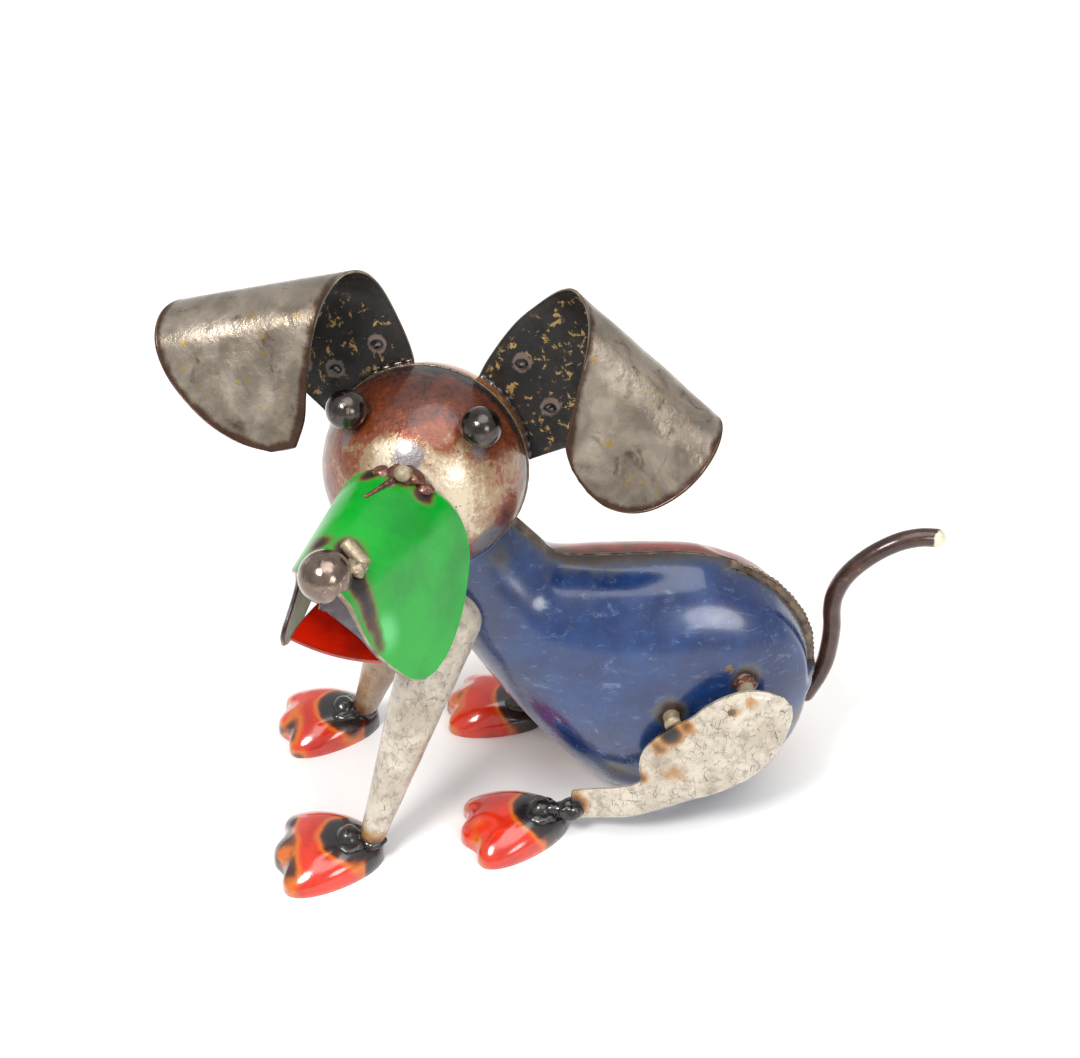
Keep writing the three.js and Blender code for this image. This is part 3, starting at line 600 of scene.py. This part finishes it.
def head_tone(points):
    q = head_local(points)
    tone = 0.34 + 0.55 * spot(q, (14, -38, 2), 26) + 0.45 * spot(q, (-8, -38, 14), 14)
    tone += 0.34 * spot(q, (14, -36, -16), 26)
    tone += 0.16 * spot(q, (-20, -30, 2), 22) - 0.12 * spot(q, (0, -16, 38), 24) + 0.25 * spot(q, (36, -14, 10), 16)
    # Lower tone within 9 mm of the rim, where the dome curves away to its outline: partly heat tint from the seam weld,
    # partly painted shade along the outline.
    tone -= 0.35 * soft_step(-q[:, 1], 9, 2)
    return tone + 0.0 * q[:, 0]


def head_grey(points):
    q = head_local(points)
    grey = np.zeros(len(q))
    for centre, radius, share in (((1, -40, 17), 11, 0.95), ((26, -27, 18), 10, 0.6), ((-26, -27, 16), 9, 0.5),
                                  ((30, -18, -20), 13, 0.9), ((24, -22, 38), 8, 0.4)):
        grey = np.maximum(grey, share * spot(q, centre, radius))
    return grey


def head_burn(points):
    q = head_local(points)
    burn = 0.9 * soft_step(3.2 - np.abs(q[:, 1]), 0, 2.6)
    for centre, radius, share in (((0, -40, 9), 8, 0.9), ((26, -28, 27), 10, 0.75), ((-26, -28, 27), 10, 0.75),
                                  ((-11, -39, 6), 6, 0.8), ((9, -39.5, 6), 6, 0.7)):
        burn = np.maximum(burn, share * spot(q, centre, radius))
    return burn


RUST = steel("rusty weld", "4a2418", "6b3a26", "2a1511", "8d6a50", 0.36, 0.4, 5, 0.5)
HEAD_MARKS = {"tone": head_tone, "grey": head_grey, "burn": head_burn}
for facing, name, node, finish, slot in (
        (-1, "head_front", "head_front_dome", HEAD, "burnt_steel"),
        (1, "head_back", "head_back_dome", AMBER, "amber_steel")):
    grid = dome(facing)
    outside = 1.0 if np.sum(normals_of(grid, True)[30, 0] * (grid[30, 0] - HEAD_CENTRE)) < 0 else -1.0
    piece(name, plate(grid, 1.5, around=True, side=outside), [finish], [node], HEAD_MARKS)

for side, name in ((1, "eye_left"), (-1, "eye_right")):
    centre = in_head(EYE_PLACE * [side, 1, 1])
    piece(name + "_ball", ball(centre, [EYE_RADIUS] * 3, rings=40), [BALL], [name])
    root = in_head(EYE_PLACE * [side, 1, 1] * 0.86)
    collar = ball(root, [6.2, 6.2, 3.0], 0.14, 4, 5 + side, HEAD_TURN @ turned(0, 30, side * 30))
    piece(name + "_weld", collar, [WELD])

# ------------------------------------------------------------------ ears

EARS = {
    "ear_left": dict(
        side=1, place=[54.5, -5.9, 77.5], droop=36,
        inner=[[-2, -86], [-4, -74], [-7.5, -60], [-9, -42], [-7, -28], [-3.5, -14], [1.5, -3], [7, 5],
               [12.5, 13], [18, 22], [24, 33], [30, 44], [35, 52], [42, 56.5]],
        outer=[[26, -92], [30.5, -80.5], [37, -68], [45, -54], [54, -38], [63, -22], [71, -6], [76, 9],
               [78.5, 22], [78.5, 34], [75, 46], [69, 54], [60.5, 58.5], [52, 59]]),
    "ear_right": dict(
        side=-1, place=[-30.8, -11.1, 76.7], droop=16,
        inner=[[-7, -76], [-10, -64], [-10.5, -50], [-9, -39], [-5.5, -25], [-2, -11], [2, -1], [6, 10],
               [11, 21], [15, 30], [18.5, 40], [21.5, 50.5], [24, 60], [29, 69]],
        outer=[[23, -82], [29, -68.5], [36, -58], [44, -46], [53, -33], [62, -19], [70, -5], [75.5, 9],
               [77, 22], [75, 34], [69.5, 45], [61, 56], [50.5, 64.5], [39, 69.5]]),
}


def rolled(c, radius, back, front):
    """Cross-section of a rolled sheet at arc length c from its crest: a circle up to the angle back
    or front, then straight on. Returns distance out and height."""
    angle = np.minimum(np.abs(c) / radius, np.radians(np.where(c > 0, front, back)))
    rest = np.abs(c) - angle * radius
    out = radius * np.sin(angle) + rest * np.cos(angle)
    down = radius * (1 - np.cos(angle)) + rest * np.sin(angle)
    return np.sign(c) * out, -down


def ear_grid(ear, rows=170, columns=70):
    """Petal from its inner to its outer edge, bent over the roll, from the head's ball outwards."""
    share = np.linspace(0, 1, columns)

    def bend(t):
        a = spline(ear["inner"], t)
        b = spline(ear["outer"], t)
        flat = a + (b - a) * share[None, :, None]
        ahead, up = rolled(flat[..., 1], 19, 90, 80)
        q = np.stack([ear["side"] * flat[..., 0], -ahead, up], -1)
        q = q @ turned(0, 0, ear["side"] * ear["droop"]).T + np.array(ear["place"])
        return in_head(q)

    t = np.broadcast_to(np.linspace(0, 1, 300)[:, None], (300, columns))
    start = clear_start(bend(t), 300, HEAD_RADIUS + 0.1)
    t = start[None] + (1 - start[None]) * np.linspace(0, 1, rows)[:, None]
    return bend(t)


for name, ear in EARS.items():
    grid = ear_grid(ear)
    grid = grid + normals_of(grid) * (0.4 * ripple(grid, 30, 7 + ear["side"]))[..., None]
    normal = normals_of(grid)[85, 35]
    crest = grid[85, 35] - grid[:, 35].mean(0)
    finishes = [EAR_OUT, EAR_IN, EDGE] if normal @ crest > 0 else [EAR_IN, EAR_OUT, EDGE]
    root = grid[0].mean(0)
    span = np.linalg.norm(grid[:, -1] - grid[:, 0], axis=1)[:, None]
    share = np.linspace(0, 1, grid.shape[1])[None]
    edge = np.minimum(np.minimum(share, 1 - share) * span, np.linspace(110, 0, len(grid))[:, None])
    brown = 0.4 * np.exp(-((edge / 4) ** 2)) + 0.24 * soft_step(np.linspace(0, 1, len(grid)), 0.7, 1)[:, None]
    brown = brown.ravel()
    brown = np.concatenate([brown, brown, np.full(2 * (sum(grid.shape[:2]) - 2), 0.2)])
    facing = 1 if normal @ crest > 0 else -1
    spots = grid[[14, 14, 26], [16, 44, 58]] - facing * normals_of(grid)[[14, 14, 26], [16, 44, 58]] * 0.8
    piece(name + "_spots", joined(*(ball(c, [2.6, 2.6, 1.6], 0.15, 2, 60 + k) for k, c in enumerate(spots))),
          [WELD])
    piece(name + "_sheet", plate(grid, SHEET), finishes, [name],
          {"burn": lambda p, root=root, brown=brown: np.maximum(0.4 * spot(p, root, 14), brown),
           "bare": lambda p, spots=spots: sum(0.8 * spot(p, c, 7.5) for c in spots)})
    seam = tube(grid[0, 2:-2:2] + (grid[0, 2:-2:2] - HEAD_CENTRE) * 0.006, 1.5 + 0.35 * np.sin(np.arange(33) * 1.7), 12)
    piece(name + "_weld", seam, [WELD])

# ------------------------------------------------------------------ snout

SNOUT_BACK_EDGE = [
    [53, -91], [45, -89.5], [36, -84.5], [27, -77.5], [18, -69], [9, -58], [2, -45], [-1, -32], [-2, -17],
    [-1, -4], [-1, 8], [-3, 20], [-5, 33], [-2.5, 44], [4.5, 54.5], [12.5, 65], [20.5, 74], [29.5, 83],
    [38.5, 90],
]
SNOUT_FRONT_EDGE = [
    [58.5, -88], [60.5, -80], [58, -71], [52.5, -61], [48.5, -52], [48.5, -44], [52.5, -35], [59, -25],
    [64.5, -14], [67.5, -3], [68.5, 9], [68.5, 21], [67.5, 33], [66.5, 46], [65, 59], [62, 71], [58, 81],
    [53, 89.5], [46, 92.5],
]


def snout_at(a, c):
    """Point a forwards and c round the ridge: the roll's section shrinks by 0.65 % a millimetre."""
    side, up = rolled(c, 25, 84, 68)
    narrow = 1 - 0.0065 * a
    return in_snout(np.stack([side * narrow, -a, up * narrow], -1))


def snout_grid(rows=240, columns=80, hem=14):
    """Cheek to cheek over the ridge, from back edge to front edge. At the front the sheet turns
    inwards round a small radius and runs on as a hem, widest beside the nose."""
    t = np.linspace(0, 1, rows)[:, None] + np.zeros((1, columns))
    back, front = spline(SNOUT_BACK_EDGE, t), spline(SNOUT_FRONT_EDGE, t)
    width = 0.5 + 8.5 * soft_step(front[:, :1, 1], 2, 16) * soft_step(-front[:, :1, 1], -58, -22)
    front = front - np.stack([1.5 + 0.25 * width + 0 * t, 0 * t], -1)
    reach = 400
    fine_v = np.linspace(0, 1, reach)[:, None, None]
    line = back[None, :, 0] + (front - back)[None, :, 0] * fine_v
    start = clear_start(snout_at(line[..., 0], line[..., 1]), reach, HEAD_RADIUS + 0.1)
    v = start[:, None] + (1 - start[:, None]) * np.linspace(0, 1, columns)[None]
    flat = back + (front - back) * v[..., None]
    grid = snout_at(flat[..., 0], flat[..., 1])
    inward = -normals_of(grid)
    if np.sum(inward[rows // 2, 10] * (grid[0, 10] - grid[rows // 2, 10])) < 0:
        inward = -inward
    width = width[:, 0]
    turn = np.radians(78)
    curl = np.minimum(0.4 + 0.14 * width, 1.5)
    ahead = grid[:, -1] - grid[:, -2]
    ahead /= np.linalg.norm(ahead, axis=1, keepdims=True)
    steps = []
    for k in range(1, hem + 1):
        share = k / hem
        bend = np.minimum(share / 0.45, 1) * turn
        rest = np.maximum(share - 0.45, 0) / 0.55 * width
        fore = curl * np.sin(bend) + rest * np.cos(turn)
        deep = curl * (1 - np.cos(bend)) + rest * np.sin(turn)
        steps.append(grid[:, -1] + ahead * fore[:, None] + inward[:, -1] * deep[:, None])
    return np.concatenate([grid, np.stack(steps, 1)], 1)


def snout_local(points):
    return (points - SNOUT_PLACE) @ SNOUT_TURN


def snout_burn(points):
    q = snout_local(points)
    burn = 1.0 * spot(q, (2, 0, 0), 9)
    for centre, radius, heat in (((-10, -2, -2), 7, 0.85), ((12, -3, -3), 7, 0.85), ((3, -47, 0), 9, 0.9),
                                 ((-9, -46, -2), 8, 0.8), ((-20, -56, -12), 14, 0.8), ((-20, -58, -40), 9, 0.6)):
        burn = np.maximum(burn, heat * spot(q, centre, radius))
    for share in np.linspace(0, 1, 14):
        centre = (11 + 10 * share, -56.5 - 3.5 * share, -3 - 25 * share)
        burn = np.maximum(burn, (1.0 - 0.5 * share) * spot(q, centre, 8.5 - 2.5 * share))
    edge = 0.5 * soft_step(-q[:, 1], 63, 69)
    return np.maximum(burn, edge)


def snout_bare(points):
    return 0.9 * spot(snout_local(points), (0, -7, 0), 3.5)


grid = snout_grid()
inner_first = np.sum(normals_of(grid)[120, 20] * (grid[120, 20] - grid[0, 20])) < 0
# The same green paint with every tone darkened, bare metal too, on the sheet's inner face: painted shade inside the
# snout's hollow.
GREEN_SHADED_INSIDE = paint("green paint with painted shade inside", "0b5f2a", "0a4a22", "3d4a2a", "2d1f18", "15100f", "8a7560", 0.3, 20)
finishes = [GREEN_SHADED_INSIDE, GREEN, EDGE] if inner_first else [GREEN, GREEN_SHADED_INSIDE, EDGE]
LIP = steel("heated lip", "3c3c46", "54505c", "352a30", "8d8376", 0.26, 0.7, 8, 0.6)
points, quads, finish = plate(grid, SHEET)
column = np.tile(np.arange(grid.shape[1] - 1), grid.shape[0] - 1)
column = np.concatenate([column, column, np.zeros(len(finish) - 2 * len(column), int)])
finish = np.where(column >= 84, 3, np.where(column >= 80, 2, finish))
piece("snout_sheet", (points, quads, finish), finishes + [LIP], ["snout"],
      {"burn": snout_burn, "bare": snout_bare,
       "pale": lambda p: spot(snout_local(p), (19, -54, -27), 11)})

piece("nose", ball(in_snout(NOSE_PLACE), [NOSE_RADIUS] * 3, rings=44), [NOSE], ["nose_ball"])
rod = tube(in_snout(np.linspace([2.0, -46.6, 2.9], [11.6, -50.6, -0.6], 12)), 2.7, 28, False)
piece("nose_bar", joined(rod, ball(in_snout([9, -51.5, -1.5]), [5.5, 4, 3], 0.16, 3, 4)), [BAR], ["nose_rod"])
neck = tube(in_snout(np.linspace([3.2, 3, -1.5], [3.8, -4.3, 5.3], 12)), 3.2, 32, False)
piece("snout_bar", neck, [BAR], ["snout_rod"])
run = in_snout(np.linspace([1.5, -2, 1.2], [-4.5, -17, 0.2], 30))
run_size = 1.5 * np.linspace(1, 0.6, 30) * (1 + 0.05 * np.sin(np.arange(30) * 1.3))
lump = joined(ball(in_snout([3, 0.5, 0.5]), [7.5, 5, 3.0], 0.16, 4, 8, SNOUT_TURN),
              ball(in_snout([-6, -0.5, -0.5]), [4, 3.2, 2.2], 0.16, 3, 9, SNOUT_TURN),
              ball(in_snout([11, -0.5, -2.2]), [4, 3.2, 2.2], 0.16, 3, 10, SNOUT_TURN))
piece("snout_weld", lump, [RUST])
piece("snout_weld_run", tube(run, run_size, 16), [RUST])

JAW_LEFT_EDGE = [[1, 11], [12, 12.5], [26, 15], [40, 17], [52, 18.5], [61, 19.5]]
JAW_RIGHT_EDGE = [[1, -13], [12, -15], [26, -17.5], [40, -18.5], [52, -18.5], [60, -17.5]]


def jaw_grid(rows=70, columns=60):
    """Shallow trough: its height falls by 3 mm in the middle and tilts a little to one side."""
    t = np.linspace(0, 1, rows)
    a, b = spline(JAW_LEFT_EDGE, t)[:, None], spline(JAW_RIGHT_EDGE, t)[:, None]
    flat = a + (b - a) * np.linspace(0, 1, columns)[None, :, None]
    ahead, side = flat[..., 0], flat[..., 1]
    up = -36.3 - (3 - 0.008 * side**2) + 0.11 * side - 0.1 * (61 - ahead)
    grid = in_snout(np.stack([side + 3.5, -ahead, up], -1))
    start = clear_start(grid, rows, HEAD_RADIUS + 0.1)
    tt = start[None] + (1 - start[None]) * t[:, None]
    rows_index = tt * (rows - 1)
    i = np.minimum(rows_index.astype(int), rows - 2)
    w = (rows_index - i)[..., None]
    j = np.arange(columns)[None]
    return grid[i, j] * (1 - w) + grid[i + 1, j] * w


piece("jaw", plate(jaw_grid(), SHEET), [JAW_RED], ["lower_jaw"],
      {"burn": lambda p: 0.35 * soft_step(-snout_local(p)[:, 1], 57, 61)})

# ------------------------------------------------------------------ paws

PAW_HALF = [
    [4.5, 0.6], [9.5, 4.5], [14, 11], [17.8, 19], [20.4, 27.5], [21.2, 35], [19.8, 40.5], [15.5, 43],
    [10.5, 42.2], [7.3, 43.8], [3.8, 46.4],
]
PAWS = {
    "front_left": dict(heel=[39.5, -71, 0], spin=1, breadth=1.1, knob=[42, -85.5, 15], foot=[42, -75.5, 12.5]),
    "front_right": dict(heel=[-47, -73, 0], spin=5, breadth=1.0, knob=[-42, -89, 15], foot=[-42.5, -79, 12.5]),
    "hind_left": dict(heel=[26, 9.5, 0], spin=10, breadth=0.98, knob=[31, -2, 15], foot=[33, 11, 16]),
    "hind_right": dict(heel=[-42, 5, 0], spin=-16, breadth=0.95, knob=[-43, -6, 15], foot=[-34, 9, 16]),
}
PAW_HEIGHT = 14.5
TOE_SOOT = [1.15, 0.8, 0.4, 0.7]


def paw_local(points, paw):
    return (points - np.array(paw["heel"])) @ turned(paw["spin"], 0, 0)


def paw_grid(paw, rings=46, sectors=200):
    """Dome over a closed outline with three toes: shares of the outline by a sine to the power
    0.8, height by a cosine to the power 0.62, lower towards the toes."""
    half = np.array(PAW_HALF) * [1, -1]
    line = np.concatenate([[[0, 0]], half, [[0, -47.2]], half[::-1] * [-1, 1], [[0, 0]]])
    outline = even_spline(np.concatenate([line[-3:-1], line, line[1:3]]), np.linspace(0, 1, 1201), 30)
    start = np.argmin(np.abs(outline[:600, 0]) + np.abs(outline[:600, 1]))
    end = 600 + np.argmin(np.abs(outline[600:, 0]) + np.abs(outline[600:, 1]))
    ring = outline[np.linspace(start, end, sectors, endpoint=False).astype(int)]
    slope = np.linspace(0, np.pi / 2, rings)[:, None]
    middle = np.array([0, -27])
    share = np.sin(slope) ** 0.8
    soft = ring
    for _ in range(70):
        soft = (np.roll(soft, 3, axis=0) + soft + np.roll(soft, -3, axis=0)) / 3
    soft = middle + (soft - middle) * 1.06
    toes = soft_step(slope, 0.75, 1.5)[..., None]
    flat = middle + (soft + (ring - soft) * toes - middle) * share[..., None]
    height = PAW_HEIGHT + 0.09 * (flat[..., 1] + 27)
    lobes = 0.5 * np.cos(flat[..., 0] * 0.46) * soft_step(-flat[..., 1], 24, 42) * np.sin(2 * slope)
    up = height * np.maximum(np.cos(slope), 0) ** 0.62 + lobes
    q = np.stack([flat[..., 0] * paw["breadth"], flat[..., 1], up], -1)
    return q @ turned(paw["spin"], 0, 0).T + np.array(paw["heel"])


def paw_burn(points, paw, seed):
    q = paw_local(points, paw)
    knob = paw_local(np.array(paw["knob"])[None], paw)[0]
    flat = (q - knob) * [1, 1, 0.3]
    away = np.linalg.norm(flat, axis=1)
    burn = 1.15 * np.exp(-((away / 12.5) ** 4))
    burn = np.maximum(burn, 0.95 * soft_step(q[:, 1], -12, -4))
    toes = soft_step(-q[:, 1], 30, 44) * (0.55 + 0.6 * ripple(q, 12, seed))
    return np.maximum(burn, TOE_SOOT[seed - 20] * toes)


for number, (name, paw) in enumerate(PAWS.items()):
    grid = paw_grid(paw)
    outside = -1.0 if normals_of(grid, True)[20, 0] @ (grid[20, 0] - grid[:, 100].mean(0)) > 0 else 1.0
    piece("paw_" + name + "_shell", plate(grid, SHEET, around=True, side=outside), [ENAMEL],
          ["paw_" + name], {"burn": lambda p, paw=paw, number=number: paw_burn(p, paw, number + 20)})
    knob, foot = np.array(paw["knob"], float), np.array(paw["foot"], float)
    weld = joined(
        ball(knob - [0, 0, 1.2], [5.3, 5.3, 4.6], 0.05, 5, number),
        ball(knob - [0, 0, 2.2], [8.6, 8.6, 2.6], 0.10, 4, number + 30),
        ball(foot - [0, 0, 1.2], [5.6, 6.0, 4.2], 0.16, 4, number + 40),
        tube(np.linspace(knob - [0, 0, 1], foot - [0, 0, 2], 12), 3.4 + 0.3 * np.sin(np.arange(12) * 1.9), 16),
    )
    piece("paw_weld_" + name + "_lump", weld, [WELD], ["paw_weld_" + name])

# ------------------------------------------------------------------ front legs


def leg_grid(foot, top, rows=90, sectors=96):
    """Tapered tube from foot to shoulder, closed above by a half ball."""
    foot, top = np.array(foot, float), np.array(top, float)
    along = top - foot
    length = np.linalg.norm(along)
    along /= length
    side = np.cross(along, [0, 1, 0])
    side /= np.linalg.norm(side)
    fore = np.cross(side, along)
    slope = np.linspace(np.pi / 2, 0, 26)[:, None]
    high = np.concatenate([length + 15 * np.sin(slope), np.linspace(length, 0, rows)[1:, None]])
    size = np.concatenate([15 * np.cos(slope), np.linspace(15, 5.4, rows)[1:, None]])
    turn = np.linspace(0, 2 * np.pi, sectors, endpoint=False)[None]
    ring = side * np.cos(turn)[..., None] + fore * np.sin(turn)[..., None]
    return foot + along * high[..., None] + ring * size[..., None]


for name, node, foot, top, finish in (
        ("front_leg_left_cone", "front_leg_left", PAWS["front_left"]["foot"], [19, -40, 113], CREAM),
        ("front_leg_right_cone", "front_leg_right", PAWS["front_right"]["foot"], [-19, -50, 113], SHADED_CREAM)):
    grid = leg_grid(foot, top)
    grid = grid + normals_of(grid, True) * (0.25 * ripple(grid, 24, 11))[..., None]
    outside = -1.0 if normals_of(grid, True)[60, 0] @ (grid[60, 0] - grid[60].mean(0)) > 0 else 1.0
    piece(name, plate(grid, SHEET, around=True, side=outside), [finish], [node],
          {"burn": lambda p, foot=foot: 0.5 * spot(p, foot, 11) + 0.25 * soft_step(-p[:, 2], -26, -12)})

# ------------------------------------------------------------------ hind legs

HIND_TOP_EDGE = [
    [12, 24.5], [23, 27.5], [33, 31], [40.5, 36.5], [39.5, 45], [41, 54], [46, 62.5], [53, 69.5], [60, 74],
    [66, 79.5], [73, 83.5], [82, 85.5], [91, 84], [98.5, 80],
]
HIND_LOWER_EDGE = [
    [9, 7.5], [23, 10.5], [36, 14.5], [46, 19], [56, 22.5], [66, 26], [75, 30.5], [84, 36.5], [91, 43],
    [96, 50], [99.5, 57], [101.5, 64], [102.5, 70], [102, 75.5],
]


def hind_grid(side, rows=130, columns=90):
    """Thigh and lower leg in one sheet: bulged by 4.5 mm over the thigh, leaning in by 9 mm to the
    paw, and turned in along its edges."""
    t = np.linspace(0, 1, rows)
    a, b = even_spline(HIND_TOP_EDGE, t, 20)[:, None], even_spline(HIND_LOWER_EDGE, t, 20)[:, None]
    v = np.linspace(0, 1, columns)
    flat = a + (b - a) * v[None, :, None]
    away = np.hypot(flat[..., 0] - 74, flat[..., 1] - 57) / 33
    bulge = 4.5 * np.maximum(0, 1 - away**2)
    lean = 9 * soft_step(48 - flat[..., 0], 0, 38)
    span = np.linalg.norm(a - b, axis=-1)
    edge = np.minimum(v[None] * span, (1 - v[None]) * span)
    curl = 1.6 * np.exp(-((edge / 2.2) ** 2))
    out = 42.4 + bulge - lean - curl
    grid = np.concatenate([(side * out)[..., None], flat], -1)
    grid[..., 0] += side * 0.3 * ripple(grid, 22, 2)
    return grid


def hind_burn(points):
    q = points * [1, 1, 1]
    q[:, 0] = np.abs(q[:, 0])
    burn = np.zeros(len(q))
    for centre, radius, heat in (((44, 51, 66), 8, 0.95), ((44, 58, 70), 6, 0.6), ((45, 84, 82), 5, 0.45),
                                 ((45, 77, 78), 5, 0.4), ((35, 12, 18), 9, 0.9), ((42, 40, 40), 6, 0.55),
                                 ((43, 47, 58), 6, 0.6)):
        burn = np.maximum(burn, heat * spot(q, centre, radius))
    stain = 0.34 * spot(q, (43, 53, 44), 12)
    return np.maximum(burn, stain)


for side, name in ((1, "left"), (-1, "right")):
    grid = hind_grid(side)
    piece("hind_leg_" + name + "_sheet", plate(grid, SHEET), [CREAM], ["hind_leg_" + name],
          {"burn": hind_burn, "bare": lambda p: 0.8 * spot(np.abs(p), (46, 76, 78), 3.2)})
    for end, y, z in (("front", 52.5, 69), ("rear", 83, 82)):
        reach = 42.0
        bar = tube(np.linspace([side * 27, y, z], [side * reach, y, z], 10), 3.5, 24, False)
        p, q, f = ball([side * 34, y, z], [3.4, 5.0, 4.2], 0.2, 3, 50 + side)
        piece("thigh_bar_" + end + "_" + name, joined(bar, (p, q, f + 1)), [BAR, RUST],
              ["thigh_stub_" + end + "_" + name])

# ------------------------------------------------------------------ tail

TAIL_LINE = [
    [-1, 113, 34], [-1.5, 121.4, 50.5], [-2, 124.2, 57], [-2, 126, 64], [-2, 126.9, 74], [-2, 126.9, 83],
    [-2, 126, 92], [-2, 126.6, 100], [-2, 129.6, 108], [-2, 135, 115.2], [-2, 142.5, 121.6],
    [-2, 151.6, 126.4], [-2, 160, 128.1], [-2, 167.0, 127.6],
]
share = np.linspace(0, 1, 160)
path = even_spline(TAIL_LINE, share, 120)
tip = np.array(TAIL_LINE[-1], float)
keep = share > 0.1
piece("tail_bar", tube(path[keep], np.linspace(3.75, 4.0, keep.sum()), 36), [TAIL], ["tail"],
      {"bare": lambda p: 1.1 * spot(p, tip + [3, 2.5, 0.5], 7)})

# ------------------------------------------------------------------ seam welds


def seam_line(curve, start, end, count, smooth=60):
    """Points on the mid-plane along one of the body's edges."""
    flat = even_spline(curve, np.linspace(start, end, count), smooth)
    return np.concatenate([np.zeros((count, 1)), flat], 1)


back_line = seam_line(BACK_EDGE, 0.14, 1.0, 420)
belly_line = seam_line(BELLY_EDGE, 1.0, 0.84, 70)
line = np.concatenate([back_line, belly_line])
beads = 0.85 + 0.22 * np.sin(np.arange(len(line)) * 0.9) + 0.1 * np.sin(np.arange(len(line)) * 0.23)
SEAM = steel("seam weld", "5a4636", "7d6a55", "33231b", "b39a78", 0.34, 0.6, 5, 0.5)
piece("body_seam_weld", tube(line, beads, 10), [SEAM])

turn = np.linspace(0, 2 * np.pi, 401)
ring = in_head(np.stack([41.0 * np.cos(turn), 0 * turn, 41.0 * np.sin(turn)], -1))
piece("head_seam_weld", tube(ring, 0.55 + 0.05 * np.sin(np.arange(401) * 0.9), 10, False), [SEAM])

# ------------------------------------------------------------------ floor, light and camera


def aimed(thing, place, target):
    thing.location = place
    thing.rotation_euler = (Vector(target) - Vector(place)).to_track_quat("-Z", "Y").to_euler()


def lamp(name, place, size, power, target):
    data = bpy.data.lights.new(name, "AREA")
    data.shape, data.size, data.energy = "DISK", size, power
    thing = bpy.data.objects.new(name, data)
    bpy.context.collection.objects.link(thing)
    aimed(thing, place, target)


MIDDLE = (SHIFT + np.array([0, 0, 142.1])) * MM
azimuth, elevation, distance = np.radians(86), np.radians(36), 740 * MM
view = np.array([np.sin(azimuth) * np.cos(elevation), -np.cos(azimuth) * np.cos(elevation), np.sin(elevation)])
camera = bpy.data.objects.new("camera", bpy.data.cameras.new("camera"))
camera.data.lens, camera.data.sensor_width, camera.data.sensor_fit = 60.3, 36, "HORIZONTAL"
bpy.context.collection.objects.link(camera)
aimed(camera, MIDDLE + view * distance, MIDDLE)
bpy.context.scene.camera = camera

floor_mesh = bpy.data.meshes.new("floor")
floor_mesh.from_pydata([(-30, -30, 0), (30, -30, 0), (30, 30, 0), (-30, 30, 0)], [], [(0, 1, 2, 3)])
floor = bpy.data.objects.new("floor", floor_mesh)
bpy.context.collection.objects.link(floor)
pale = Finish("pale floor")
floor_mesh.materials.append(pale.done(rgb("f4f3f1"), 0.7))

lamp("key", (0.9, -0.7, 1.5), 0.45, 20, MIDDLE)
sun = bpy.data.objects.new("sky light", bpy.data.lights.new("sky light", "SUN"))
sun.data.energy, sun.data.angle = 1.5, np.radians(50)
bpy.context.collection.objects.link(sun)
aimed(sun, (0.3, 0.3, 1.8), MIDDLE)
lamp("fill", (1.4, 0.9, 0.8), 0.6, 7, MIDDLE)
world = bpy.data.worlds.new("studio")
world.use_nodes = True
world.node_tree.nodes["Background"].inputs["Color"].default_value = (1, 1, 1, 1)
world.node_tree.nodes["Background"].inputs["Strength"].default_value = 0.62
bpy.context.scene.world = world
bpy.context.scene.view_settings.view_transform = "Standard"
